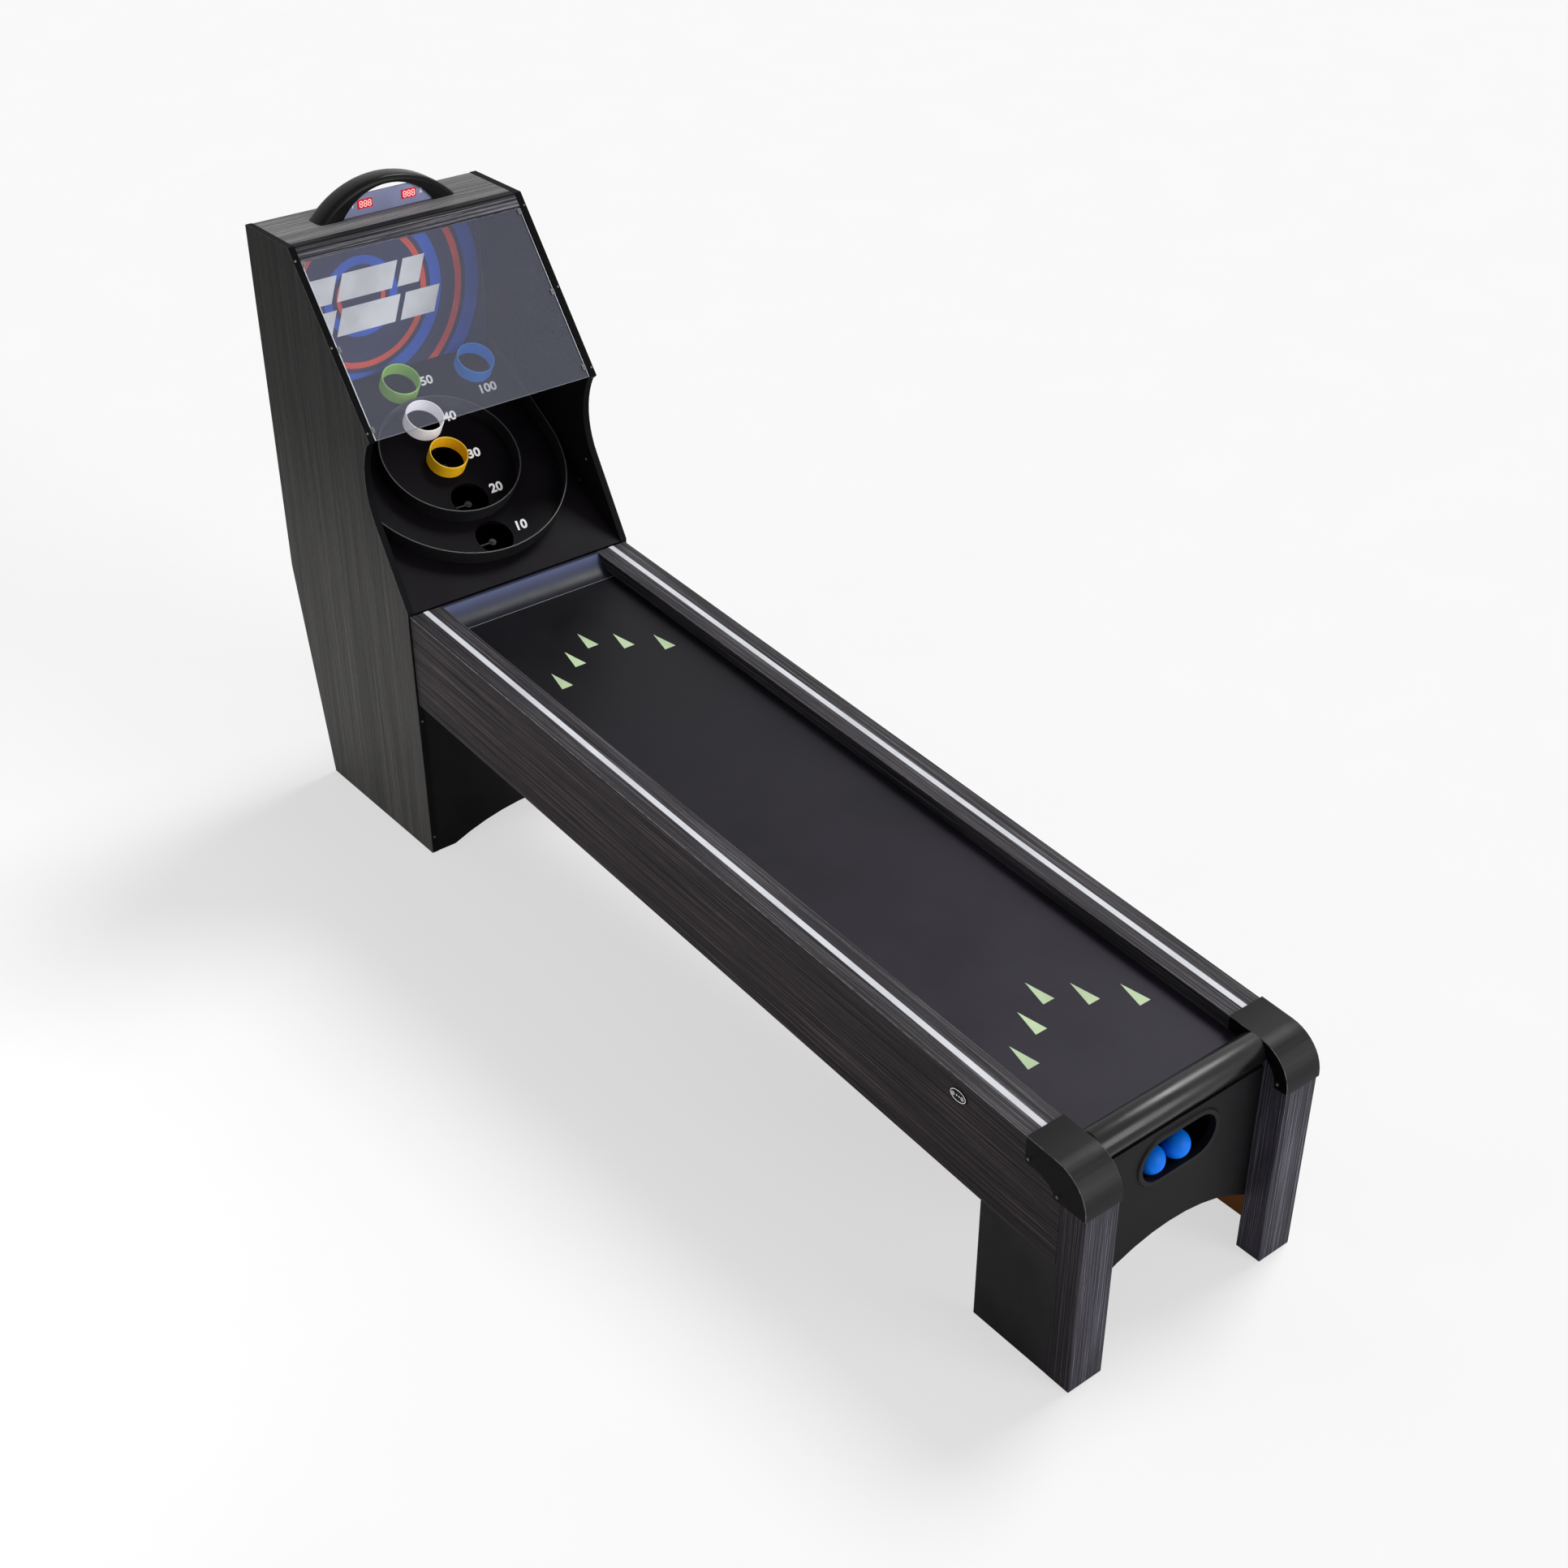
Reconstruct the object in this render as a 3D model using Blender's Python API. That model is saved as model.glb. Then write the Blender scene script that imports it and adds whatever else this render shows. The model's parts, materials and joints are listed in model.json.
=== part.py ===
"""Roll and score game table: a sloped ball lane in front of a hooded target cabinet.

X runs across the table, Y along it (player at -Y, cabinet at +Y), Z is up, floor at Z = 0.
All lengths are metres.
"""
import math

import bmesh
import bpy
from mathutils import Vector

for old in list(bpy.data.objects):
    bpy.data.objects.remove(old, do_unlink=True)

# Overall sizes
table_length = 2.790
table_width = 0.610
cabinet_overhang = 0.005
cabinet_height = 1.441
cabinet_depth = 0.5802
fit_gap = 0.0003
cut_overrun = 0.010

# Rails and lane; heights are measured from the sloping top line of the rails
rail_height_front = 0.5113
rail_rise = 0.1536
rail_width = 0.086
rail_cap_height = 0.059
side_board_thickness = 0.012
side_board_depth = 0.2365
lane_drop = 0.033
lane_thickness = 0.012
strip_width = 0.014
strip_depth = 0.008
strip_tuck = 0.010
ramp_length = 0.070
ramp_curve_radius = 0.081
ramp_end_angle = math.radians(57)
bearer_width = 0.030
bearer_depth = 0.040
front_bearer_place = 0.210
rear_bearer_inset = 0.1365

# Front legs
post_depth = 0.0593
corner_radius = 0.080
leg_panel_thickness = 0.015
leg_panel_inset = 0.001
leg_panel_reach = 0.254
cap_skin = 0.003
cap_length = 0.150
cap_bottom_height = 0.430
cap_flange_drop = 0.058
cap_flange_leg = 0.076
cap_bite_length = 0.047
cap_inner_flange = 0.028
cap_edge_radius = 0.0012
cap_lip_width = 0.005
cap_lip_proud = 0.001

# Front panel, bar and ball return
bar_radius = 0.033
bar_setback = 0.085
bar_height = 0.490
bar_edge = 0.003
front_panel_thickness = 0.0127
front_arch_height = 0.200
front_arch_rise = 0.065
slot_height = 0.385
slot_half_length = 0.050
slot_radius = 0.050
bezel_flange = 0.010
bezel_proud = 0.003
bezel_wall = 0.002
trough_width = 0.230
trough_depth = 0.087
trough_wall = 0.004
trough_sink = 0.003
ball_radius = 0.029
ball_setback = 0.0857
ball_place = -0.045
ball_spacing = 0.009
chute_width = 0.080
chute_wall = 0.003
chute_floor = 0.004
chute_height = 0.035
chute_setback = 0.150
chute_overlap = 0.006

# Control on the left rail
control_setback = 0.325
control_drop = 0.038
control_radius = 0.0155
control_body_radius = 0.0125
control_length_share = 1.535
control_proud = 0.002
control_depth = 0.012
control_pocket = 0.020
control_button_radius = 0.0050
control_button_offset = 0.0120
control_button_proud = 0.0008
control_button_length = 0.0133

# Cabinet shell
cabinet_board = 0.018
cabinet_foot_inset = 0.0967
cabinet_kink_height = 0.566
cabinet_top_depth = 0.1997
hood_front_depth = 0.0945
hood_front_height = 1.0675
hood_nose = 0.018
throat_depth = 0.1095
throat_height = 0.860
throat_sagitta = 0.027
cabinet_front_height = 0.672
header_width = 0.036
header_thickness = 0.015
panel_reveal = 0.0008
shield_inset = 0.003
shield_thickness = 0.003
shield_end_inset = 0.002
back_inset = 0.003
back_thickness = 0.012
backboard_space = 0.0065
backboard_thickness = 0.005
cabinet_front_inset = 0.002
cabinet_arch_foot = 0.0487
cabinet_arch_rise = 0.050
lower_back_lift = 0.010

# Target board; s runs up the board from its front edge, h stands off its face
board_front_height = 0.6692
board_angle = math.radians(31.5)
board_thickness = 0.012
first_hole = 0.1225
hole_pitch = 0.118
open_hole_radius = 0.047
cup_hole_radius = 0.0445
cup_radius = 0.048
cup_wall = 0.003
cup_height = 0.0375
corner_cup_margin = 0.0781
hoop_wall = 0.003
small_hoop_radius = 0.174
small_hoop_centre = 0.3545
small_hoop_height = 0.042
large_hoop_margin = 0.0077
large_hoop_setback = 0.060
large_hoop_height = 0.041
hoop_rim_round = 0.0008

# Ball sensors under the board
lever_reach = 0.060
lever_drop = 0.010
lever_barrel = 0.003
lever_length = 0.012
lever_arm_width = 0.0034
lever_arm_thickness = 0.0016
lever_pad_radius = 0.009
lever_pad_thickness = 0.003
lever_hub_radius = 0.0045
lever_hub_height = 0.002
sensor_back = 0.016
sensor_lip = 0.0045
sensor_bottom = 0.008
sensor_margin = 0.030
sensor_lip_angle = math.radians(30)
sensor_mouth_angle = math.radians(285)

# Catch tray under the board
tray_front = 0.0083
tray_front_height = 0.556
tray_back_height = 0.640
tray_thickness = 0.006
guide_start = 0.150
guide_thickness = 0.005
guide_height = 0.024
guide_side_gap = 0.004

# Scoreboard on the cabinet top
arch_half_width = 0.182
arch_rise = 0.080
arch_opening_half = 0.122
arch_opening_rise = 0.063
arch_depth = 0.062
arch_setback = 0.081
arch_round = 0.012
face_inset = 0.008
face_thickness = 0.004
face_height = 0.049
display_width = 0.038
display_height = 0.021
display_offset = 0.058
display_centre = 0.026
display_thickness = 0.002
circuit_half_width = 0.060
circuit_bottom = 0.006
circuit_height = 0.036
circuit_thickness = 0.0016

# Power inlet on the back
inlet_radius = 0.0055
inlet_flange_radius = 0.009
inlet_flange_thickness = 0.0015
inlet_length = 0.018
inlet_bore_radius = 0.0028
inlet_edge_distance = 0.0917
inlet_height = 0.700

wood_edge = 0.0010
sharp_angle = math.radians(40)
round_profile_share = 0.5
round_steps = 32
arc_steps = 10

# Places worked out from the sizes
front_y = -table_length / 2
back_y = table_length / 2
post_y = front_y + cap_skin + fit_gap
cabinet_y = back_y - cabinet_depth
lane_run = cabinet_y - post_y
rail_end_y = cabinet_y - fit_gap
rail_slope = rail_rise / lane_run
slope_angle = math.atan(rail_slope)
half_table = table_width / 2
rail_inner = half_table - rail_width
half_cabinet = half_table + cabinet_overhang
cabinet_inner = half_cabinet - cabinet_board - fit_gap
cos_board = math.cos(board_angle)
sin_board = math.sin(board_angle)


def rail_top(y):
    """Height of the rails' top line at a place along the table."""
    return rail_height_front + (y - post_y) * rail_slope


def board_point(x, s, h):
    """World place of a point given in the target board's own directions."""
    y = cabinet_y + fit_gap + s * cos_board - h * sin_board
    return Vector((x, y, board_front_height + s * sin_board + h * cos_board))


def finish(name, colour, roughness, metallic=0.0, alpha=1.0):
    """A plain surface finish."""
    made = bpy.data.materials.new(name)
    made.use_nodes = True
    shader = made.node_tree.nodes["Principled BSDF"]
    shader.inputs["Base Color"].default_value = (*colour, 1.0)
    shader.inputs["Roughness"].default_value = roughness
    shader.inputs["Metallic"].default_value = metallic
    shader.inputs["Alpha"].default_value = alpha
    return made


wood_dark = finish("dark_woodgrain", (0.045, 0.040, 0.038), 0.5)
board_black = finish("black_laminate", (0.012, 0.011, 0.012), 0.45)
lane_black = finish("lane_surface", (0.022, 0.020, 0.024), 0.4)
raw_board = finish("raw_fibreboard", (0.36, 0.20, 0.10), 0.8)
plastic_black = finish("black_plastic", (0.012, 0.012, 0.012), 0.32)
bar_black = finish("black_bar", (0.016, 0.016, 0.016), 0.35)
ramp_sheen = finish("ramp_surface", (0.05, 0.06, 0.10), 0.3)
diffuser = finish("light_diffuser", (0.85, 0.85, 0.90), 0.35)
clear_sheet = finish("clear_sheet", (0.65, 0.70, 0.80), 0.08, 0.0, 0.25)
art_print = finish("printed_board", (0.09, 0.09, 0.16), 0.5)
ball_blue = finish("ball_blue", (0.01, 0.19, 0.85), 0.5)
cup_yellow = finish("cup_yellow", (0.80, 0.42, 0.02), 0.35)
cup_white = finish("cup_white", (0.80, 0.80, 0.82), 0.35)
cup_green = finish("cup_green", (0.20, 0.45, 0.10), 0.35)
cup_blue = finish("cup_blue", (0.03, 0.16, 0.42), 0.35)
lever_grey = finish("lever_grey", (0.16, 0.16, 0.17), 0.45)
button_white = finish("button_white", (0.62, 0.62, 0.62), 0.4)
face_grey = finish("face_grey", (0.13, 0.13, 0.22), 0.4)
display_red = finish("display_red", (0.75, 0.03, 0.03), 0.3)
circuit_green = finish("circuit_green", (0.02, 0.14, 0.05), 0.5)


def add_piece(name, bm, material, origin=None, tilt=0.0, smooth=None):
    """Turn a bmesh into a named object; without an origin it sits at its own middle."""
    if origin is None:
        low = Vector([min(v.co[i] for v in bm.verts) for i in range(3)])
        high = Vector([max(v.co[i] for v in bm.verts) for i in range(3)])
        origin = (low + high) / 2
        bmesh.ops.translate(bm, verts=bm.verts, vec=-origin)
    bm.normal_update()
    bmesh.ops.recalc_face_normals(bm, faces=bm.faces)
    mesh = bpy.data.meshes.new(name)
    bm.to_mesh(mesh)
    bm.free()
    if smooth is not None:
        mesh.shade_smooth()
        mesh.set_sharp_from_angle(angle=smooth)
    piece = bpy.data.objects.new(name, mesh)
    bpy.context.scene.collection.objects.link(piece)
    piece.location = origin
    piece.rotation_euler = (tilt, 0.0, 0.0)
    mesh.materials.append(material)
    return piece


def extrude_face(points, travel):
    """Solid made by pushing one flat outline along a straight travel."""
    bm = bmesh.new()
    face = bm.faces.new([bm.verts.new(p) for p in points])
    pushed = bmesh.ops.extrude_face_region(bm, geom=[face])
    moved = [g for g in pushed["geom"] if isinstance(g, bmesh.types.BMVert)]
    bmesh.ops.translate(bm, verts=moved, vec=travel)
    return bm


def along_x(outline, low, high):
    """Outline in (y, z) pushed from x = low to x = high."""
    return extrude_face([(low, y, z) for y, z in outline], Vector((high - low, 0, 0)))


def along_y(outline, low, high):
    """Outline in (x, z) pushed from y = low to y = high."""
    return extrude_face([(x, low, z) for x, z in outline], Vector((0, high - low, 0)))


def along_z(outline, low, high):
    """Outline in (x, y) pushed from z = low to z = high."""
    return extrude_face([(x, y, low) for x, y in outline], Vector((0, 0, high - low)))


def sloped_bar(section, low, high):
    """Section in (x, height off the rail top line) running up the slope."""
    bm = along_y(section, low, high)
    for v in bm.verts:
        v.co.z += rail_top(v.co.y)
    return bm


def box(low, high):
    """Upright box between two corners."""
    outline = [(low[0], low[1]), (high[0], low[1]), (high[0], high[1]), (low[0], high[1])]
    return along_z(outline, low[2], high[2])


def circle(radius, steps=round_steps):
    """Points of a circle round zero."""
    turns = [2 * math.pi * i / steps for i in range(steps)]
    return [(radius * math.cos(a), radius * math.sin(a)) for a in turns]


def arc_points(centre, radius, start, end, steps=arc_steps):
    """Points of an arc between two angles."""
    angles = [start + (end - start) * i / steps for i in range(steps + 1)]
    return [(centre[0] + radius * math.cos(a), centre[1] + radius * math.sin(a)) for a in angles]


def bowed(first, last, sagitta, steps=arc_steps):
    """Arc from one point to another that bows to the left of the way."""
    ax, ay = first
    bx, by = last
    chord = math.hypot(bx - ax, by - ay)
    radius = (chord ** 2 / 4 + sagitta ** 2) / (2 * sagitta)
    ux, uy = (bx - ax) / chord, (by - ay) / chord
    cx = (ax + bx) / 2 + uy * (radius - sagitta)
    cy = (ay + by) / 2 - ux * (radius - sagitta)
    start = math.atan2(ay - cy, ax - cx)
    end = math.atan2(by - cy, bx - cx)
    if end > start:
        end -= 2 * math.pi
    return arc_points((cx, cy), radius, start, end, steps)


def lathe(profile, steps=round_steps, axis="Z"):
    """Closed profile of (radius, height) turned once about an axis."""
    bm = bmesh.new()
    rings = []
    for a in (2 * math.pi * i / steps for i in range(steps)):
        ring = []
        for radius, height in profile:
            u, v = radius * math.cos(a), radius * math.sin(a)
            spot = {"Z": (u, v, height), "X": (height, u, v), "Y": (v, height, u)}[axis]
            ring.append(bm.verts.new(spot))
        rings.append(ring)
    count = len(profile)
    for i, ring in enumerate(rings):
        after = rings[(i + 1) % steps]
        for j in range(count):
            k = (j + 1) % count
            bm.faces.new((ring[j], ring[k], after[k], after[j]))
    return bm


def rod(radius, low, high, axis, steps=round_steps, edge=0.0):
    """Round bar along an axis, with its end edges taken off."""
    bm = bmesh.new()
    bmesh.ops.create_cone(bm, cap_ends=True, segments=steps, radius1=radius, radius2=radius,
                          depth=high - low)
    for v in bm.verts:
        u, w, along = v.co.x, v.co.y, v.co.z + (low + high) / 2
        v.co = {"X": (along, u, w), "Y": (w, along, u), "Z": (u, w, along)}[axis]
    bm.normal_update()
    if edge > 0:
        rims = [e for e in bm.edges if any(len(f.verts) > 4 for f in e.link_faces)]
        bmesh.ops.bevel(bm, geom=rims, offset=edge, segments=2, profile=round_profile_share,
                          affect="EDGES")
    return bm


def spun_solid(profile, steps=round_steps):
    """Solid of (radius, x) rings about the X axis, closed at both ends."""
    bm = bmesh.new()
    rings = [[bm.verts.new((x, u, v)) for u, v in circle(radius, steps)] for radius, x in profile]
    for here, after in zip(rings, rings[1:]):
        for j in range(steps):
            k = (j + 1) % steps
            bm.faces.new((here[j], here[k], after[k], after[j]))
    bm.faces.new(rings[0])
    bm.faces.new(rings[-1])
    return bm


def soften(bm, width=wood_edge):
    """Small chamfer on the outward sharp edges of a solid."""
    bmesh.ops.recalc_face_normals(bm, faces=bm.faces)
    bm.normal_update()
    sharp = [e for e in bm.edges if e.is_convex and e.calc_face_angle() > sharp_angle]
    bmesh.ops.bevel(bm, geom=sharp, offset=width, segments=1, affect="EDGES", clamp_overlap=True)
    return bm


def shape_by(piece, tool, operation="DIFFERENCE"):
    """Cut a piece by a hidden tool shape, or join the tool to it."""
    tool.hide_render = True
    tool.display_type = "WIRE"
    made = piece.modifiers.new(tool.name, "BOOLEAN")
    made.operation = operation
    made.object = tool
    made.solver = "EXACT"


def mirror_pair(name, build):
    """Build the left and the right piece of a pair; build gets -1 or 1."""
    return {side: build(f"{word}_{name}", side) for word, side in (("left", -1), ("right", 1))}


# Lane assembly
board_foot_y = post_y + post_depth + fit_gap
head_y = post_y + corner_radius
rail_start_y = head_y + fit_gap
corner_y = post_y + corner_radius
corner_z = rail_top(corner_y) - corner_radius / math.cos(slope_angle)
bar_y = post_y + bar_setback
panel_front_y = post_y + post_depth + fit_gap
panel_back_y = panel_front_y + front_panel_thickness
bar_sag = math.sqrt(bar_radius ** 2 - (bar_y - panel_back_y) ** 2)
panel_top = bar_height - bar_sag - fit_gap
shoulder = panel_top + fit_gap
side_inner = half_table - side_board_thickness


def span(side, near, far):
    """Low and high x of something between two distances from the middle."""
    return (near, far) if side > 0 else (-far, -near)


def corner_line(offset):
    """Rail top, rounded corner and post front, offset outward, from back to front."""
    reach = corner_radius + offset
    back = post_y + cap_length
    start = (back, rail_top(back) + offset / math.cos(slope_angle))
    first = math.pi / 2 + slope_angle
    return [start] + arc_points((corner_y, corner_z), reach, first, math.pi)


def front_post(name, side):
    arc = arc_points((corner_y, corner_z), corner_radius, math.pi / 2 + slope_angle, math.pi)
    outline = [(post_y, 0), (post_y + post_depth, 0), (post_y + post_depth, shoulder),
               (head_y, shoulder), (head_y, rail_top(head_y))] + arc
    bm = soften(along_x(outline, *span(side, rail_inner, half_table)))
    return add_piece(name, bm, wood_dark)


def side_board(name, side):
    low, high = span(side, side_inner, half_table)
    under = rail_cap_height + fit_gap
    section = [(low, -side_board_depth), (high, -side_board_depth), (high, -under), (low, -under)]
    return add_piece(name, soften(sloped_bar(section, board_foot_y, rail_end_y)), wood_dark)


def rail_cap(name, side):
    low, high = span(side, rail_inner, half_table)
    section = [(low, -rail_cap_height), (high, -rail_cap_height), (high, 0), (low, 0)]
    piece = add_piece(name, soften(sloped_bar(section, rail_start_y, rail_end_y)), wood_dark)
    middle = side * (half_table - rail_width / 2)
    half = strip_width / 2
    groove = [(middle - half, -strip_depth), (middle + half, -strip_depth),
              (middle + half, cut_overrun), (middle - half, cut_overrun)]
    start = post_y + cap_length - strip_tuck
    tool = add_piece(name + "_groove_tool", sloped_bar(groove, start, cabinet_y + cut_overrun),
                     wood_dark)
    shape_by(piece, tool)
    return piece


def light_strip(name, side):
    middle = side * (half_table - rail_width / 2)
    half = strip_width / 2 - fit_gap
    section = [(middle - half, fit_gap - strip_depth), (middle + half, fit_gap - strip_depth),
               (middle + half, 0), (middle - half, 0)]
    start = post_y + cap_length - strip_tuck + fit_gap
    return add_piece(name, sloped_bar(section, start, rail_end_y), diffuser)


def leg_panel(name, side):
    far = half_table - leg_panel_inset
    low, high = board_foot_y, post_y + leg_panel_reach
    under = side_board_depth + fit_gap
    outline = [(low, 0), (high, 0), (high, rail_top(high) - under), (low, rail_top(low) - under)]
    piece = add_piece(name, along_x(outline, *span(side, far - leg_panel_thickness, far)),
                      board_black)
    return piece


def corner_cap(name, side):
    """Moulded cap: a skin round the corner with a deep outer and a narrow inner flange."""
    outer = corner_line(fit_gap + cap_skin)
    back = post_y + cap_length
    leg_y = post_y + cap_flange_leg
    bite_y = leg_y + cap_bite_length
    shelf_z = rail_top(bite_y) - cap_flange_drop
    bite_z = shelf_z - (cap_bottom_height + cap_edge_radius)
    quarter = [math.pi / 2 * i / arc_steps for i in range(arc_steps + 1)]
    bite = [(bite_y - cap_bite_length * math.sin(a), shelf_z - bite_z * (1 - math.cos(a)))
            for a in quarter]
    outline = outer + [(front_y, cap_bottom_height), (leg_y, cap_bottom_height)]
    outline += bite[::-1] + [(back, rail_top(back) - cap_flange_drop)]
    low, high = span(side, rail_inner - fit_gap - cap_skin, half_table + fit_gap + cap_skin)
    bm = soften(along_x(outline, low, high), cap_edge_radius)
    piece = add_piece(name, bm, plastic_black, smooth=math.radians(30))
    core = corner_line(fit_gap)
    below = cap_bottom_height - cut_overrun
    core = ([(back + cut_overrun, rail_top(back + cut_overrun) + fit_gap)] + core[1:]
            + [(post_y - fit_gap, below), (back + cut_overrun, below)])
    tool = add_piece(name + "_core_tool",
                     along_x(core, *span(side, rail_inner - fit_gap, half_table + fit_gap)),
                     plastic_black)
    shape_by(piece, tool)
    trim = corner_line(-cap_inner_flange)
    trim = ([(back + cut_overrun, rail_top(back + cut_overrun) - cap_inner_flange)] + trim[1:]
            + [(post_y + cap_inner_flange, below), (back + cut_overrun, below)])
    tool = add_piece(name + "_trim_tool",
                     along_x(trim, *span(side, rail_inner - cap_skin - cut_overrun, rail_inner)),
                     plastic_black)
    shape_by(piece, tool)
    face = half_table + fit_gap + cap_skin - cap_lip_proud
    field = corner_line(fit_gap + cap_skin - cap_lip_width)
    field = ([(back + cut_overrun, rail_top(back + cut_overrun) + fit_gap + cap_skin - cap_lip_width)]
             + field[1:] + [(front_y + cap_lip_width, below), (back + cut_overrun, below)])
    tool = add_piece(name + "_lip_tool", along_x(field, *span(side, face, face + cut_overrun)),
                     plastic_black)
    shape_by(piece, tool)
    return piece


mirror_pair("front_post", front_post)
mirror_pair("side_board", side_board)
rail_caps = mirror_pair("rail_cap", rail_cap)
mirror_pair("light_strip", light_strip)
mirror_pair("leg_panel", leg_panel)
mirror_pair("corner_cap", corner_cap)

# Lane, bearers and hop ramp
lane_half = rail_inner - fit_gap
lane_front_y = bar_y + bar_radius + fit_gap
ramp_y = cabinet_y - ramp_length
lane_section = [(-lane_half, -lane_drop - lane_thickness), (lane_half, -lane_drop - lane_thickness),
                (lane_half, -lane_drop), (-lane_half, -lane_drop)]
add_piece("lane_board", sloped_bar(lane_section, lane_front_y, ramp_y - fit_gap), lane_black)

bearer_top = lane_drop + lane_thickness + fit_gap
bearer_end_top = rail_cap_height + fit_gap
bearer_low = bearer_top + bearer_depth
reach = side_inner - fit_gap
bearer_section = [(-reach, -bearer_low), (reach, -bearer_low), (reach, -bearer_end_top),
                  (lane_half, -bearer_end_top), (lane_half, -bearer_top),
                  (-lane_half, -bearer_top), (-lane_half, -bearer_end_top),
                  (-reach, -bearer_end_top)]
rear_bearer_place = lane_run - rear_bearer_inset - bearer_width
for word, place in (("front", front_bearer_place), ("rear", rear_bearer_place)):
    near = post_y + place
    add_piece(f"{word}_lane_bearer", sloped_bar(bearer_section, near, near + bearer_width),
              raw_board)

ramp_foot_z = rail_top(ramp_y) - lane_drop
ramp_centre = (ramp_y - ramp_curve_radius * math.sin(slope_angle),
               ramp_foot_z + ramp_curve_radius * math.cos(slope_angle))
curve = arc_points(ramp_centre, ramp_curve_radius, slope_angle - math.pi / 2,
                   ramp_end_angle - math.pi / 2)
base_drop = lane_drop + lane_thickness
ramp_outline = curve + [(rail_end_y, curve[-1][1]), (rail_end_y, rail_top(rail_end_y) - base_drop),
                        (ramp_y, rail_top(ramp_y) - base_drop)]
add_piece("hop_ramp", along_x(ramp_outline, -lane_half, lane_half), ramp_sheen,
          smooth=math.radians(30))

# Front bar between the corner caps
bar_half = rail_inner - fit_gap - cap_skin - fit_gap
add_piece("front_bar", rod(bar_radius, -bar_half, bar_half, "X", round_steps, bar_edge), bar_black,
          origin=Vector((0, bar_y, bar_height)), smooth=math.radians(30))

# Front panel with its arch and ball slot
leg_inner = half_table - leg_panel_inset - leg_panel_thickness
panel_half = leg_inner - fit_gap


def slot_outline(radius, straight):
    """Outline in (x, z) of a slot with round ends, round its own middle."""
    right = arc_points((straight, 0), radius, -math.pi / 2, math.pi / 2, arc_steps)
    left = arc_points((-straight, 0), radius, math.pi / 2, 3 * math.pi / 2, arc_steps)
    return right + left


arch_end = front_arch_height - front_arch_rise
arch = bowed((-rail_inner, arch_end), (rail_inner, arch_end), front_arch_rise)
panel_outline = ([(-panel_half, arch_end)] + arch + [(panel_half, arch_end)]
                 + [(panel_half, panel_top), (-panel_half, panel_top)])
front_panel = add_piece("front_panel", along_y(panel_outline, panel_front_y, panel_back_y),
                        board_black)
hole = [(x, z + slot_height) for x, z in slot_outline(slot_radius, slot_half_length)]
shape_by(front_panel, add_piece("slot_tool", along_y(hole, panel_front_y - cut_overrun,
                                                     panel_back_y + cut_overrun), board_black))

# Slot bezel: a flange in front of the panel and a sleeve through it
sleeve_radius = slot_radius - fit_gap
bezel_profile = [(sleeve_radius - bezel_wall, panel_back_y),
                 (sleeve_radius - bezel_wall, panel_front_y - fit_gap - bezel_proud),
                 (slot_radius + bezel_flange - bezel_proud, panel_front_y - fit_gap - bezel_proud),
                 (slot_radius + bezel_flange, panel_front_y - fit_gap),
                 (sleeve_radius, panel_front_y - fit_gap), (sleeve_radius, panel_back_y)]
bm = bmesh.new()
loops = [[bm.verts.new((x, y, z + slot_height)) for x, z in slot_outline(r, slot_half_length)]
         for r, y in bezel_profile]
for i, loop in enumerate(loops):
    after = loops[(i + 1) % len(loops)]
    for j in range(len(loop)):
        k = (j + 1) % len(loop)
        bm.faces.new((loop[j], loop[k], after[k], after[j]))
add_piece("slot_bezel", bm, plastic_black, smooth=math.radians(30))

# Ball trough behind the slot, and the chute that feeds it
lip_z = slot_height - (sleeve_radius - bezel_wall)
trough_floor = lip_z - trough_sink
chute_top = bearer_top + bearer_depth + fit_gap
chute_low = chute_top + chute_height
chute_front_y = post_y + chute_setback
chute_back_y = cabinet_y + chute_overlap
trough_y = panel_back_y + fit_gap
trough_back_y = trough_y + trough_depth
trough_top = rail_top(chute_front_y) - chute_low - fit_gap
half_trough = trough_width / 2
trough = add_piece("ball_trough", box((-half_trough, trough_y, trough_floor - trough_wall),
                                      (half_trough, trough_back_y, trough_top)), plastic_black)
inside = half_trough - trough_wall
shape_by(trough, add_piece("trough_tool", box((-inside, trough_y - cut_overrun, trough_floor),
                                              (inside, trough_back_y - trough_wall,
                                               trough_top + cut_overrun)), plastic_black))

w, t = chute_width / 2, chute_wall
floor_z, low_z = chute_floor - chute_low, -chute_low
chute_section = [(-w, low_z), (w, low_z), (w, -chute_top), (w - t, -chute_top), (w - t, floor_z),
                 (t - w, floor_z), (t - w, -chute_top), (-w, -chute_top)]
add_piece("ball_return_chute", sloped_bar(chute_section, chute_front_y, chute_back_y),
          plastic_black)

ball_z = trough_floor + fit_gap + ball_radius
for number in (1, 2):
    bm = bmesh.new()
    bmesh.ops.create_uvsphere(bm, u_segments=24, v_segments=14, radius=ball_radius)
    x = ball_place + (number - 1) * (2 * ball_radius + ball_spacing)
    add_piece(f"ball_{number}", bm, ball_blue,
              origin=Vector((x, post_y + ball_setback, ball_z)), smooth=math.radians(30))

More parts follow.
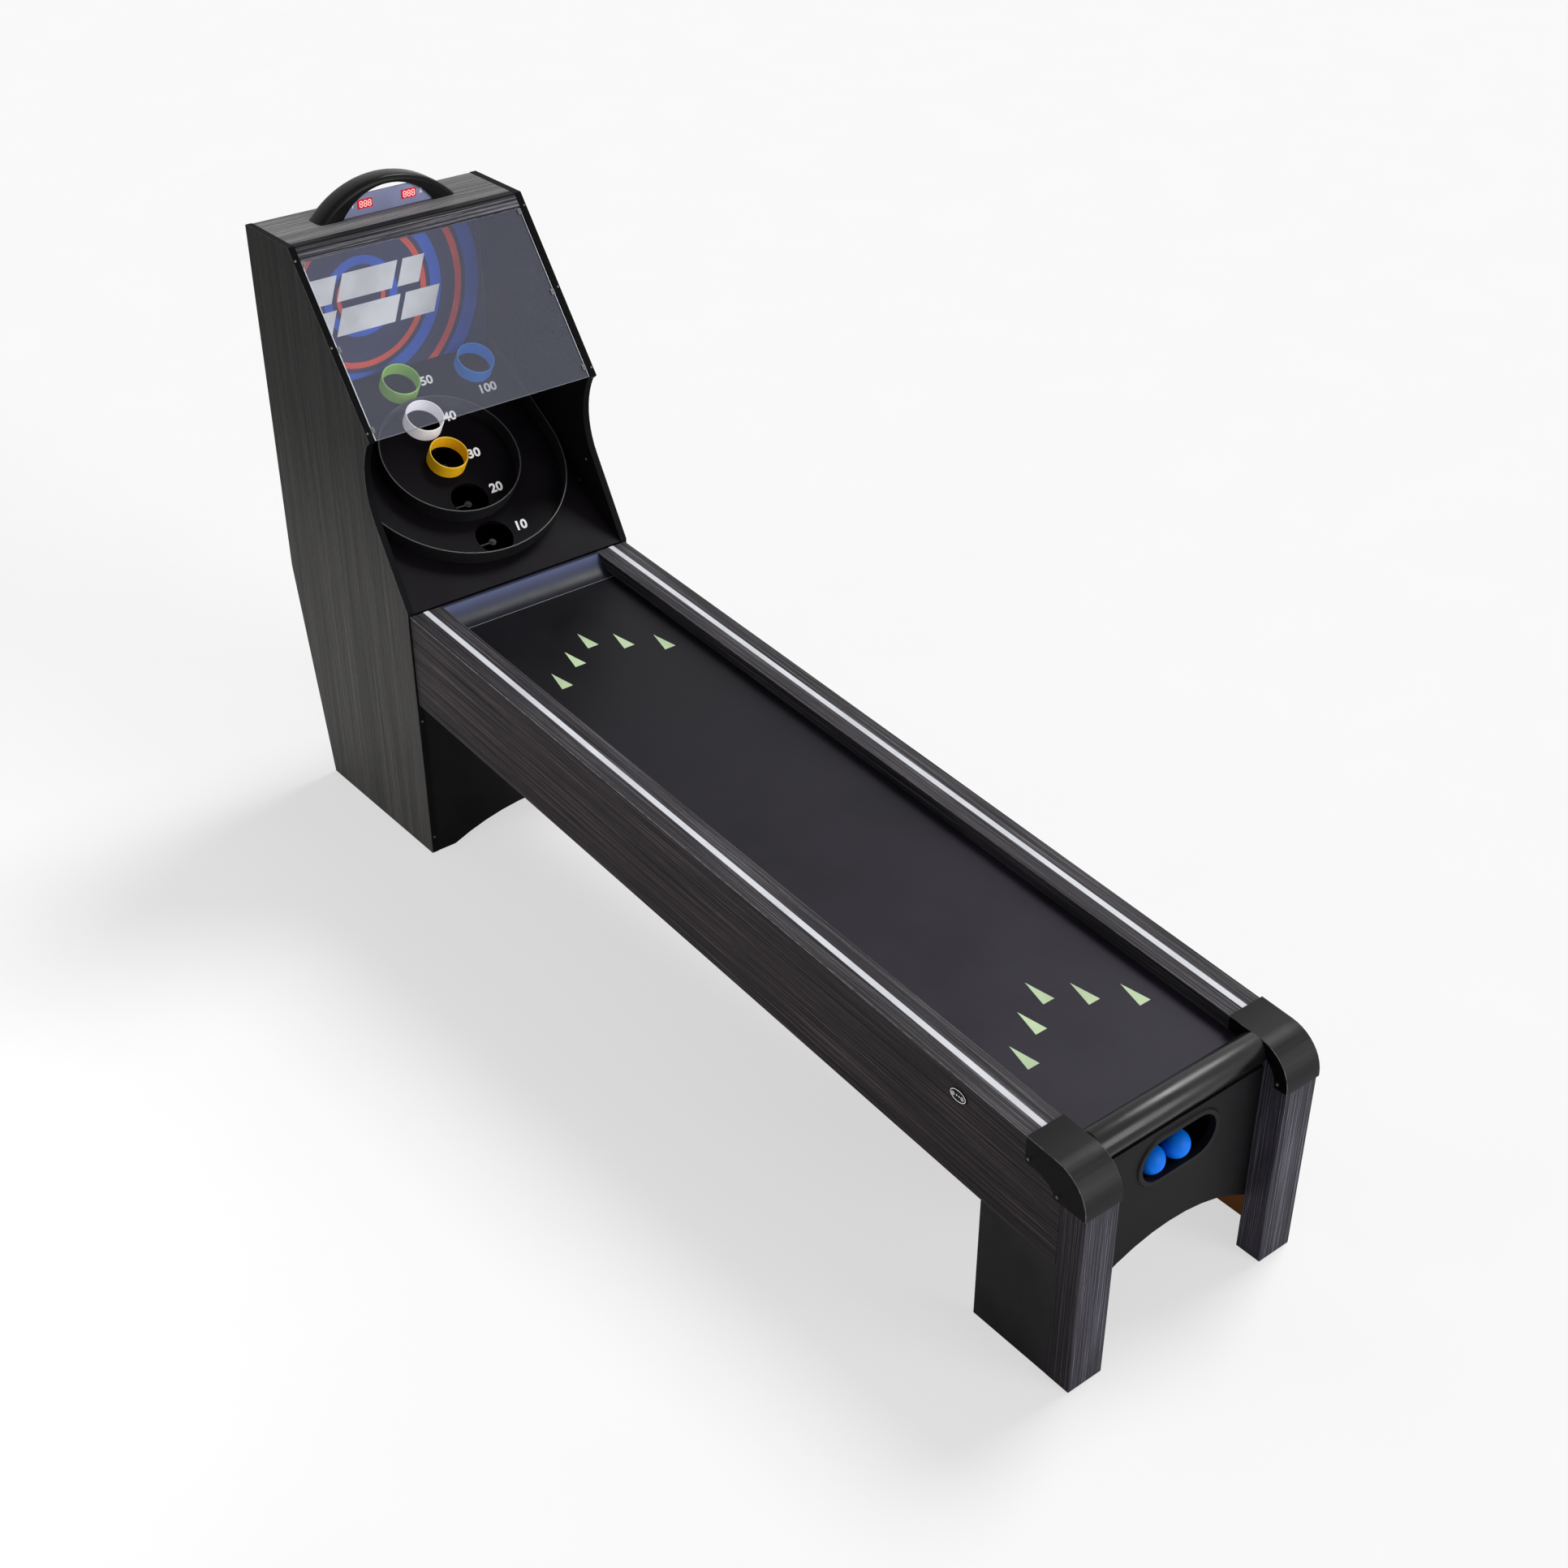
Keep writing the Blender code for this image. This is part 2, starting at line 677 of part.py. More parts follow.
# Oval control on the outside of the left rail
control_y = post_y + control_setback
control_z = rail_top(control_y) - control_drop
side_x = -half_table
control_spot = Vector((side_x, control_y, control_z))
pocket = rod(control_body_radius + fit_gap, -cut_overrun, control_pocket, "X")
bmesh.ops.scale(pocket, vec=(1, control_length_share, 1), verts=pocket.verts)
shape_by(rail_caps[-1], add_piece("control_pocket_tool", pocket, wood_dark, origin=control_spot))
rim = control_radius - control_proud
control_profile = [(rim, -fit_gap - control_proud), (control_radius, -fit_gap),
                   (control_body_radius, -fit_gap), (control_body_radius, control_depth)]
control = spun_solid(control_profile)
bmesh.ops.scale(control, vec=(1, control_length_share, 1), verts=control.verts)
control = add_piece("control_bezel", control, plastic_black, origin=control_spot,
                    smooth=math.radians(30))
for word, way in (("light", -1), ("sound", 1)):
    spot = control_spot + Vector((0, way * control_button_offset, 0))
    bore = rod(control_button_radius + fit_gap, -cut_overrun, control_depth + cut_overrun, "X", 16)
    shape_by(control, add_piece(f"{word}_button_tool", bore, plastic_black, origin=spot))
    front = -fit_gap - control_proud - control_button_proud
    add_piece(f"{word}_button", rod(control_button_radius, front, front + control_button_length,
                                    "X", 16), button_white, origin=spot, smooth=math.radians(30))

# Cabinet sides
foot_back_y = back_y - cabinet_foot_inset
hood_top_y = back_y - cabinet_top_depth
hood_front_y = cabinet_y + hood_front_depth
hood_run = math.hypot(hood_top_y - hood_front_y, cabinet_height - hood_front_height)
up_y = (hood_top_y - hood_front_y) / hood_run
up_z = (cabinet_height - hood_front_height) / hood_run


def hood_point(down, depth):
    """Point in (y, z): down the hood's slope from its top, and in behind the slope."""
    return (hood_top_y - up_y * down + up_z * depth, cabinet_height - up_z * down - up_y * depth)


nose = hood_point(hood_run, hood_nose)
throat = (cabinet_y + throat_depth, throat_height)
side_outline = [(cabinet_y, 0), (foot_back_y, 0), (back_y, cabinet_kink_height),
                (back_y, cabinet_height), (hood_top_y, cabinet_height), hood_point(hood_run, 0)]
side_outline += bowed(nose, throat, throat_sagitta) + [(cabinet_y, cabinet_front_height)]


def cabinet_side(name, side):
    low, high = span(side, half_cabinet - cabinet_board, half_cabinet)
    return add_piece(name, soften(along_x(side_outline, low, high)), wood_dark)


mirror_pair("cabinet_side", cabinet_side)

# Cabinet panels between the sides
top_z = cabinet_height - panel_reveal
header_back = hood_point(-header_thickness * up_y / up_z, header_thickness)
header_outline = [(hood_top_y, top_z), hood_point(header_width, panel_reveal),
                  hood_point(header_width, header_thickness), (header_back[0], top_z)]
add_piece("header_fascia", along_x(header_outline, -cabinet_inner, cabinet_inner), wood_dark)

back_out_y = back_y - back_inset
back_in_y = back_out_y - back_thickness
under_top = top_z - cabinet_board
top_panel = box((-cabinet_inner, header_back[0] + fit_gap, under_top),
                (cabinet_inner, back_out_y, top_z))
add_piece("cabinet_top", top_panel, wood_dark)

upper_back = add_piece("upper_back_panel",
                       box((-cabinet_inner, back_in_y, cabinet_kink_height + fit_gap),
                           (cabinet_inner, back_out_y, under_top - fit_gap)), board_black)


def back_edge(z):
    """Rear edge of the cabinet side below its kink."""
    return foot_back_y + (back_y - foot_back_y) * z / cabinet_kink_height


z0, z1 = lower_back_lift, cabinet_kink_height
rake = math.hypot(back_y - foot_back_y, z1) / z1
out_shift, in_shift = back_inset * rake, (back_inset + back_thickness) * rake
lower_outline = [(back_edge(z0) - out_shift, z0), (back_edge(z1) - out_shift, z1),
                 (back_edge(z1) - in_shift, z1), (back_edge(z0) - in_shift, z0)]
add_piece("lower_back_panel", along_x(lower_outline, -cabinet_inner, cabinet_inner), board_black)

front_top = rail_top(cabinet_y) - chute_low - fit_gap
cabinet_arch_half = cabinet_inner - cabinet_arch_foot
arch = bowed((-cabinet_arch_half, 0), (cabinet_arch_half, 0), cabinet_arch_rise)
front_outline = ([(-cabinet_inner, 0)] + arch + [(cabinet_inner, 0), (cabinet_inner, front_top),
                                                 (-cabinet_inner, front_top)])
front_low_y = cabinet_y + cabinet_front_inset
add_piece("cabinet_front_panel",
          along_y(front_outline, front_low_y, front_low_y + cabinet_board), board_black)

backboard_back_y = back_in_y - backboard_space
backboard_y = backboard_back_y - backboard_thickness
meet = (backboard_back_y - cabinet_y - fit_gap) / cos_board
backboard_low = board_front_height + meet * sin_board + fit_gap
add_piece("backboard", box((-cabinet_inner, backboard_y, backboard_low),
                           (cabinet_inner, backboard_back_y, under_top - fit_gap)), art_print)

shield_start = header_width + fit_gap
shield_end = hood_run - shield_end_inset
shield_outline = [hood_point(shield_start, shield_inset), hood_point(shield_end, shield_inset),
                  hood_point(shield_end, shield_inset + shield_thickness),
                  hood_point(shield_start, shield_inset + shield_thickness)]
add_piece("clear_shield", along_x(shield_outline, -cabinet_inner, cabinet_inner), clear_sheet)

# Target board with its seven holes
corner_cup_offset = cabinet_inner - corner_cup_margin
board_reach = back_in_y - cabinet_y - fit_gap - fit_gap
board_length = (board_reach - board_thickness * sin_board) / cos_board
centre_holes = [first_hole + hole_pitch * i for i in range(5)]
targets = [("10", 0, centre_holes[0], None), ("20", 0, centre_holes[1], None),
           ("30", 0, centre_holes[2], cup_yellow), ("40", 0, centre_holes[3], cup_white),
           ("50", 0, centre_holes[4], cup_green),
           ("left_100", -corner_cup_offset, centre_holes[4], cup_blue),
           ("right_100", corner_cup_offset, centre_holes[4], cup_blue)]
target_board = add_piece("target_board",
                         box((-cabinet_inner, 0, -board_thickness),
                             (cabinet_inner, board_length, 0)), board_black,
                         origin=board_point(0, 0, 0), tilt=board_angle)
for word, x, s, cup in targets:
    radius = cup_hole_radius if cup else open_hole_radius
    bore = rod(radius, -board_thickness - cut_overrun, cut_overrun, "Z")
    shape_by(target_board, add_piece(f"hole_{word}_tool", bore, board_black,
                                     origin=board_point(x, s, 0), tilt=board_angle))

# Score cups on the holes, each a short tube with a rounded rim
rim_round = cup_wall / 3
cup_profile = [(cup_radius - cup_wall, 0), (cup_radius, 0), (cup_radius, cup_height - rim_round),
               (cup_radius - rim_round, cup_height), (cup_radius - cup_wall + rim_round, cup_height),
               (cup_radius - cup_wall, cup_height - rim_round)]
for word, x, s, cup in targets:
    if cup:
        add_piece(f"score_cup_{word}", lathe(cup_profile), cup,
                  origin=board_point(x, s, fit_gap), tilt=board_angle, smooth=math.radians(50))


def wall_along(path, thickness, height, closed):
    """Upright wall whose outer side follows a path given with its outward directions."""
    rim = hoop_rim_round
    section = [(0, 0), (0, height - rim), (rim, height), (thickness - rim, height),
               (thickness, height - rim), (thickness, 0)]
    bm = bmesh.new()
    rows = [[bm.verts.new((x - nx * depth, s - ns * depth, h)) for depth, h in section]
            for (x, s), (nx, ns) in path]
    last = len(rows) if closed else len(rows) - 1
    for i in range(last):
        here, after = rows[i], rows[(i + 1) % len(rows)]
        for j in range(len(section)):
            k = (j + 1) % len(section)
            bm.faces.new((here[j], here[k], after[k], after[j]))
    if not closed:
        bm.faces.new(rows[0])
        bm.faces.new(rows[-1])
    return bm


# Small round hoop, and large hoop open at the back
turns = [2 * math.pi * i / 64 for i in range(64)]
small_path = [((small_hoop_radius * math.cos(a), small_hoop_radius * math.sin(a)),
               (math.cos(a), math.sin(a))) for a in turns]
add_piece("small_score_hoop", wall_along(small_path, hoop_wall, small_hoop_height, True),
          plastic_black, origin=board_point(0, small_hoop_centre, fit_gap), tilt=board_angle,
          smooth=math.radians(30))
large_hoop_radius = cabinet_inner - large_hoop_margin
large_hoop_centre = large_hoop_setback + large_hoop_radius
large_hoop_end = (backboard_y - cabinet_y - fit_gap - fit_gap) / cos_board
straight = large_hoop_end - large_hoop_centre
turns = [math.pi * (1 + i / 40) for i in range(41)]
large_path = [((-large_hoop_radius, straight), (-1, 0))]
large_path += [((large_hoop_radius * math.cos(a), large_hoop_radius * math.sin(a)),
                (math.cos(a), math.sin(a))) for a in turns]
large_path += [((large_hoop_radius, straight), (1, 0))]
add_piece("large_score_hoop", wall_along(large_path, hoop_wall, large_hoop_height, False),
          plastic_black, origin=board_point(0, large_hoop_centre, fit_gap), tilt=board_angle,
          smooth=math.radians(30))

# Ball sensors: a lever under each hole, its barrel nested in a grooved rail
pivot_h = -board_thickness - lever_drop
socket = lever_barrel + fit_gap
rail_roof = lever_drop - fit_gap
mouth = (socket * math.cos(sensor_mouth_angle), socket * math.sin(sensor_mouth_angle))
groove = arc_points((0, 0), socket, sensor_mouth_angle, sensor_lip_angle, 16)
sensor_section = [(sensor_lip, rail_roof), (-sensor_back, rail_roof), (-sensor_back, -sensor_bottom),
                  (mouth[0], -sensor_bottom)] + groove + [(sensor_lip, groove[-1][1])]


def sensor_rail(name, x, low, high):
    spot = board_point(x - lever_reach, low, pivot_h)
    return add_piece(name, along_y(sensor_section, 0, high - low), plastic_black,
                     origin=spot, tilt=board_angle)


corner_s = centre_holes[4]
sensor_rail("centre_sensor_rail", 0, centre_holes[0] - sensor_margin, corner_s + sensor_margin)
sensor_rail("left_sensor_rail", -corner_cup_offset, corner_s - sensor_margin,
            corner_s + sensor_margin)
sensor_rail("right_sensor_rail", corner_cup_offset, corner_s - sensor_margin,
            corner_s + sensor_margin)

arm_half = lever_arm_width / 2
arm_rise = lever_arm_thickness / 2
pad_edge = lever_reach - lever_pad_radius + lever_pad_thickness
pad_low = -lever_pad_thickness / 2
for word, x, s, cup in targets:
    spot = board_point(x, s, pivot_h)
    spot.x -= lever_reach
    lever = add_piece(f"sensor_lever_{word}",
                      rod(lever_barrel, -lever_length / 2, lever_length / 2, "Y", 16), lever_grey,
                      origin=spot, tilt=board_angle, smooth=math.radians(30))
    arm = add_piece(f"arm_{word}_tool", box((0, -arm_half, -arm_rise),
                                            (pad_edge, arm_half, arm_rise)), lever_grey,
                    origin=spot, tilt=board_angle)
    pad_turned = rod(lever_pad_radius, pad_low, -pad_low, "Z", 20)
    hub_turned = rod(lever_hub_radius, 0, -pad_low + lever_hub_height, "Z", 16)
    pad = add_piece(f"pad_{word}_tool", pad_turned, lever_grey,
                    origin=spot + Vector((lever_reach, 0, 0)), tilt=board_angle)
    hub = add_piece(f"hub_{word}_tool", hub_turned, lever_grey,
                    origin=spot + Vector((lever_reach, 0, 0)), tilt=board_angle)
    for tool in (arm, pad, hub):
        shape_by(lever, tool, "UNION")

# Catch tray: sloping floor with two guides that funnel the balls to the chute
tray_y = cabinet_y + tray_front
tray_back_y = back_in_y - fit_gap
tray_slope = (tray_back_height - tray_front_height) / (tray_back_y - tray_y)


def tray_top(y):
    """Height of the tray's upper face."""
    return tray_front_height + (y - tray_y) * tray_slope


tray_outline = [(tray_y, tray_top(tray_y)), (tray_back_y, tray_top(tray_back_y)),
                (tray_back_y, tray_top(tray_back_y) - tray_thickness),
                (tray_y, tray_top(tray_y) - tray_thickness)]
tray = add_piece("catch_tray", along_x(tray_outline, -cabinet_inner, cabinet_inner), board_black)
mouth_x = chute_width / 2 - chute_wall
guide_y = cabinet_y + guide_start
for word, side in (("left", -1), ("right", 1)):
    far = cabinet_inner - guide_side_gap
    outline = [(side * mouth_x, tray_y), (side * (mouth_x + guide_thickness), tray_y),
               (side * far, guide_y - guide_thickness), (side * far, guide_y)]
    bm = along_z(outline, -tray_thickness / 2, guide_height)
    for v in bm.verts:
        v.co.z += tray_top(v.co.y)
    shape_by(tray, add_piece(f"{word}_guide_tool", bm, board_black), "UNION")

# Scoreboard: an arched hood with a printed face and two displays
arch_y = hood_top_y + arch_setback
base_z = top_z + fit_gap
outer_arc = bowed((-arch_half_width, 0), (arch_half_width, 0), arch_rise, 24)
inner_arc = bowed((-arch_opening_half, 0), (arch_opening_half, 0), arch_opening_rise, 20)
bm = along_y([(x, z + base_z) for x, z in outer_arc + inner_arc[::-1]], arch_y, arch_y + arch_depth)
inner_radius = (arch_opening_half ** 2 + arch_opening_rise ** 2) / (2 * arch_opening_rise)
inner_centre = base_z + arch_opening_rise - inner_radius
crown = [e for e in bm.edges
         if abs(e.verts[0].co.y - e.verts[1].co.y) < fit_gap
         and all(math.hypot(v.co.x, v.co.z - inner_centre) > inner_radius + fit_gap
                 for v in e.verts)
         and any(v.co.z > base_z + fit_gap for v in e.verts)]
bm.normal_update()
bmesh.ops.bevel(bm, geom=crown, offset=arch_round, segments=3, profile=round_profile_share,
                affect="EDGES", clamp_overlap=True)
add_piece("scoreboard_arch", bm, plastic_black, smooth=math.radians(40))

face_low = fit_gap
opening = inner_radius - fit_gap
drop = arch_opening_rise - inner_radius
side_low = math.asin((face_low - drop) / opening)
side_high = math.asin((face_height - drop) / opening)
right_edge = arc_points((0, drop), opening, side_low, side_high, 6)
face_outline = right_edge + [(-x, z) for x, z in right_edge[::-1]]
face_y = arch_y + face_inset
add_piece("scoreboard_face", along_y([(x, z + base_z) for x, z in face_outline],
                                     face_y, face_y + face_thickness), face_grey)
for word, side in (("left", -1), ("right", 1)):
    x = side * display_offset
    add_piece(f"{word}_score_display",
              box((x - display_width / 2, face_y - fit_gap - display_thickness,
                   base_z + display_centre - display_height / 2),
                  (x + display_width / 2, face_y - fit_gap,
                   base_z + display_centre + display_height / 2)), display_red)
circuit_y = face_y + face_thickness + fit_gap
add_piece("scoreboard_circuit",
          box((-circuit_half_width, circuit_y, base_z + circuit_bottom),
              (circuit_half_width, circuit_y + circuit_thickness,
               base_z + circuit_bottom + circuit_height)), circuit_green)

# Power inlet in the upper back panel
inlet_spot = Vector((cabinet_inner - inlet_edge_distance, back_out_y, inlet_height))
bore = rod(inlet_radius + fit_gap, -back_thickness - cut_overrun, cut_overrun, "Y", 20)
shape_by(upper_back, add_piece("inlet_hole_tool", bore, board_black, origin=inlet_spot))
outside = fit_gap + inlet_flange_thickness
inlet_profile = [(inlet_bore_radius, outside), (inlet_flange_radius, outside),
                 (inlet_flange_radius, fit_gap), (inlet_radius, fit_gap),
                 (inlet_radius, outside - inlet_length), (inlet_bore_radius, outside - inlet_length)]
add_piece("power_inlet", lathe(inlet_profile, 20, "Y"), plastic_black, origin=inlet_spot,
          smooth=math.radians(30))
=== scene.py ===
"""Looks of the roll and score game table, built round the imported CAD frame.

X runs across the table, Y along it (player at -Y, cabinet at +Y), Z is up. All lengths are metres.
"""
import json
import math

import bmesh
import bpy
from mathutils import Matrix, Vector

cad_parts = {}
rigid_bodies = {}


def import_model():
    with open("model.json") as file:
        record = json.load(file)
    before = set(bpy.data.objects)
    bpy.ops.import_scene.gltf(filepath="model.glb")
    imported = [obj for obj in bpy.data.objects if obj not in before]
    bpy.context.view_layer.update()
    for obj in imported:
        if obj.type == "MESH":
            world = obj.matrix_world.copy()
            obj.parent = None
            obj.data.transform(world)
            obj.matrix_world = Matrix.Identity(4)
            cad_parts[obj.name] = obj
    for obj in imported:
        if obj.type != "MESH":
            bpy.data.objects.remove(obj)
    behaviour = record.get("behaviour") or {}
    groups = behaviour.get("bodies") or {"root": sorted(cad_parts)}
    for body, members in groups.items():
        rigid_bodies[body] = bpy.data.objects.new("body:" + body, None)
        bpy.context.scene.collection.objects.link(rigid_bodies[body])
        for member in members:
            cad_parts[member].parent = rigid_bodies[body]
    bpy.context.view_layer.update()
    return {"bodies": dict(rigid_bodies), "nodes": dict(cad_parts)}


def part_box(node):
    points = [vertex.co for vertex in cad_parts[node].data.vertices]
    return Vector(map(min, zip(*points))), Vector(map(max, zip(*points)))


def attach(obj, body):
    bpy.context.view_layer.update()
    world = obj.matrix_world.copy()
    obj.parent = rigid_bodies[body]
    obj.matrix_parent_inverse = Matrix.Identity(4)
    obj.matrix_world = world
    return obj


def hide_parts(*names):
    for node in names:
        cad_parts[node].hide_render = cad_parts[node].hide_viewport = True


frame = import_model()
nodes = frame["nodes"]

# Places taken over from the CAD model: the rails' top line, how far the lane lies below it, and
# the foot and tilt of the target board's face
RAIL_FRONT_HEIGHT = 0.5113
RAIL_RISE = 0.1536
RAIL_BACK_Y = 0.8148
LANE_DROP = 0.033
BOARD_ANGLE = math.radians(31.5)
BOARD_START = 0.8151
BOARD_HEIGHT = 0.6692

# Thickness of everything printed, and the turn that stands a flat outline up to face the player
PRINT_LIFT = 0.0003
TO_PLAYER = Matrix.Rotation(math.pi / 2, 4, "X")

post_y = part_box("left_front_post")[0].y
cabinet_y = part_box("left_cabinet_side")[0].y
rail_slope = RAIL_RISE / (RAIL_BACK_Y - post_y)
slope_angle = math.atan(rail_slope)
cos_board, sin_board = math.cos(BOARD_ANGLE), math.sin(BOARD_ANGLE)


def rail_top(y):
    """Height of the rails' top line."""
    return RAIL_FRONT_HEIGHT + (y - post_y) * rail_slope


def on_lane(x, y):
    """Placement on the lane, with Y running up it."""
    place = Matrix.Translation((x, y, rail_top(y) - LANE_DROP))
    return place @ Matrix.Rotation(slope_angle, 4, "X")


def on_board(x, s, h=0.0):
    """Placement on the target board: across, up along it, and off its face."""
    y = BOARD_START + s * cos_board - h * sin_board
    z = BOARD_HEIGHT + s * sin_board + h * cos_board
    return Matrix.Translation((x, y, z)) @ Matrix.Rotation(BOARD_ANGLE, 4, "X")


def facing_player(x, y, z):
    """Placement on an upright face, with X running across and Y up."""
    return Matrix.Translation((x, y, z)) @ TO_PLAYER


# ---------------------------------------------------------------- materials
# Colour sockets of the Mix node, whose sockets for other kinds of data have the same names
MIX_ONE, MIX_TWO, MIX_RESULT = 6, 7, 2


class Look:
    """One procedural material, worked out in the object's own coordinates."""

    def __init__(self, name, roughness=0.5, specular=0.5, metallic=0.0):
        self.material = bpy.data.materials.new(name)
        self.material.use_nodes = True
        self.tree = self.material.node_tree
        self.shader = next(n for n in self.tree.nodes if n.type == "BSDF_PRINCIPLED")
        self.place = self.add("ShaderNodeTexCoord").outputs["Object"]
        self.plain("Roughness", roughness)
        self.plain("Specular IOR Level", specular)
        self.plain("Metallic", metallic)

    def add(self, kind, **settings):
        """New node of a kind, with its settings."""
        node = self.tree.nodes.new(kind)
        for key, value in settings.items():
            setattr(node, key, value)
        return node

    def join(self, source, target):
        self.tree.links.new(source, target)

    def feed(self, socket, value):
        """Link a node's value to a socket, or set a plain one on it."""
        if isinstance(value, bpy.types.NodeSocket):
            self.join(value, socket)
        else:
            socket.default_value = value

    def plain(self, socket, value):
        """Set a constant on the shader."""
        self.shader.inputs[socket].default_value = value

    def stretched(self, scale, tilt=0.0):
        """The coordinates turned about X by tilt and then scaled along each axis."""
        place = self.place
        if tilt:
            turn = self.add("ShaderNodeMapping")
            turn.inputs["Rotation"].default_value = (tilt, 0.0, 0.0)
            self.join(place, turn.inputs["Vector"])
            place = turn.outputs["Vector"]
        spread = self.add("ShaderNodeMapping")
        spread.inputs["Scale"].default_value = scale
        self.join(place, spread.inputs["Vector"])
        return spread.outputs["Vector"]

    def noise(self, scale, detail=3.0, roughness=0.55, tilt=0.0):
        """Noise between 0 and 1; scale is one number or one for each axis."""
        scale = (scale,) * 3 if isinstance(scale, (int, float)) else scale
        made = self.add("ShaderNodeTexNoise")
        made.inputs["Scale"].default_value = 1.0
        made.inputs["Detail"].default_value = detail
        made.inputs["Roughness"].default_value = roughness
        self.join(self.stretched(scale, tilt), made.inputs["Vector"])
        return made.outputs["Fac"]

    def ramp(self, value, *stops):
        """Colour or grey that follows a value; stops are (place, colour or number)."""
        made = self.add("ShaderNodeValToRGB")
        self.join(value, made.inputs["Fac"])
        points = made.color_ramp.elements
        while len(points) < len(stops):
            points.new(0.5)
        for point, (place, shade) in zip(points, stops):
            point.position = place
            shade = (shade,) * 3 if isinstance(shade, (int, float)) else shade
            point.color = (*shade, 1.0)
        return made.outputs["Color"]

    def mix(self, factor, one, two, kind="MIX"):
        """Two colours mixed by a factor, each a node's value or a constant."""
        made = self.add("ShaderNodeMix", data_type="RGBA", blend_type=kind)
        for socket, value in ((made.inputs["Factor"], factor), (made.inputs[MIX_ONE], one),
                              (made.inputs[MIX_TWO], two)):
            if isinstance(value, tuple) and len(value) == 3:
                value = (*value, 1.0)
            self.feed(socket, value)
        return made.outputs[MIX_RESULT]

    def calc(self, kind, one, two=0.0):
        """Arithmetic on one or two values, each a node's or a constant."""
        made = self.add("ShaderNodeMath", operation=kind)
        self.feed(made.inputs[0], one)
        self.feed(made.inputs[1], two)
        return made.outputs["Value"]

    def axis(self, letter):
        """One coordinate of the place on the object."""
        made = self.add("ShaderNodeSeparateXYZ")
        self.join(self.place, made.inputs["Vector"])
        return made.outputs[letter]

    def colour(self, value):
        self.join(value, self.shader.inputs["Base Color"])

    def rough(self, value):
        self.join(value, self.shader.inputs["Roughness"])

    def relief(self, height, depth, strength=1.0):
        """Bump from a height between 0 and 1 that stands for depth metres."""
        made = self.add("ShaderNodeBump")
        made.inputs["Strength"].default_value = strength
        made.inputs["Distance"].default_value = depth
        self.join(height, made.inputs["Height"])
        self.join(made.outputs["Normal"], self.shader.inputs["Normal"])


def woodgrain(name, grain, tones, tilt=0.0, specular=0.12, fine=1.0, after=None, cut=0.85):
    """Printed charcoal wood foil: thin dark lines along one axis over slow bands.

    tones are dark, middle and light, and cut is how strong the dark lines are; after(look, tone)
    may change the colour before it is used.
    """
    look = Look(name, specular=specular)
    dark, mid, light = tones

    def stretch(across, along):
        """Noise scale with its own value along the grain."""
        scale = [across * fine] * 3
        scale["XYZ".index(grain)] = along
        return tuple(scale)

    streaks = look.noise(stretch(430.0, 2.2), 4.0, 0.66, tilt)
    bands = look.noise(stretch(36.0, 0.9), 3.0, 0.5, tilt)
    lines = look.noise(stretch(620.0, 2.8), 2.0, 0.5, tilt)
    pores = look.noise(stretch(1500.0, 60.0), 2.0, 0.6, tilt)
    tone = look.ramp(streaks, (0.36, dark), (0.46, mid), (0.53, mid), (0.63, light))
    tone = look.mix(1.0, tone, look.ramp(bands, (0.34, 0.84), (0.66, 1.12)), "MULTIPLY")
    tone = look.mix(cut, tone, look.ramp(lines, (0.42, 0.20), (0.46, 1.0)), "MULTIPLY")
    tone = look.mix(0.6, tone, look.ramp(pores, (0.38, 0.5), (0.50, 1.0)), "MULTIPLY")
    if after is not None:
        tone = after(look, tone)
    look.colour(tone)
    look.rough(look.ramp(streaks, (0.3, 0.62), (0.7, 0.46)))
    look.relief(look.mix(0.5, lines, pores), 0.00025, 0.5)
    return look.material


def faced(name, colour, roughness, specular, fine, slow, shades, wear, relief, after):
    """Even colour with slow stains, slow wear in its gloss, and a fine relief.

    fine and slow are the scale and detail of two noises; shades and wear are the least and the
    most that the slow one does to colour and roughness; relief is a depth and a strength.
    """
    look = Look(name, roughness, specular)
    grain, stain = look.noise(*fine), look.noise(*slow)
    tone = look.ramp(stain, *[(place, tuple(min(1.0, c * shade) for c in colour))
                              for place, shade in zip((0.35, 0.65), shades)])
    if after is not None:
        tone = after(look, tone)
    look.colour(tone)
    look.rough(look.ramp(stain, (0.3, roughness + wear[0]), (0.7, roughness + wear[1])))
    look.relief(grain, *relief)
    return look


def moulded(name, colour, roughness=0.4, specular=0.15, grain=900.0, depth=0.00006, after=None):
    """Plastic with a fine moulded grain."""
    return faced(name, colour, roughness, specular, (grain, 2.0), (9.0, 3.0), (0.86, 1.12),
                 (-0.05, 0.07), (depth, 0.6), after)


def laminate(name, colour, roughness, specular, after=None):
    """Smooth board facing with a faint pressed texture."""
    return faced(name, colour, roughness, specular, (420.0, 3.0), (6.0, 3.0), (0.82, 1.18),
                 (-0.04, 0.06), (0.00008, 0.4), after)


def over_rail(look):
    """Height above the rails' top line, as a node value."""
    along = look.calc("MULTIPLY", look.axis("Y"), rail_slope)
    return look.calc("SUBTRACT", look.calc("SUBTRACT", look.axis("Z"), along),
                     RAIL_FRONT_HEIGHT - post_y * rail_slope)


def over_board(look):
    """Height off the target board's face, as a node value."""
    up = look.calc("MULTIPLY", look.axis("Z"), cos_board)
    along = look.calc("MULTIPLY", look.axis("Y"), sin_board)
    return look.calc("SUBTRACT", look.calc("SUBTRACT", up, along),
                     BOARD_HEIGHT * cos_board - BOARD_START * sin_board)


def away(look):
    """Distance from the table's middle plane."""
    return look.calc("ABSOLUTE", look.axis("X"))


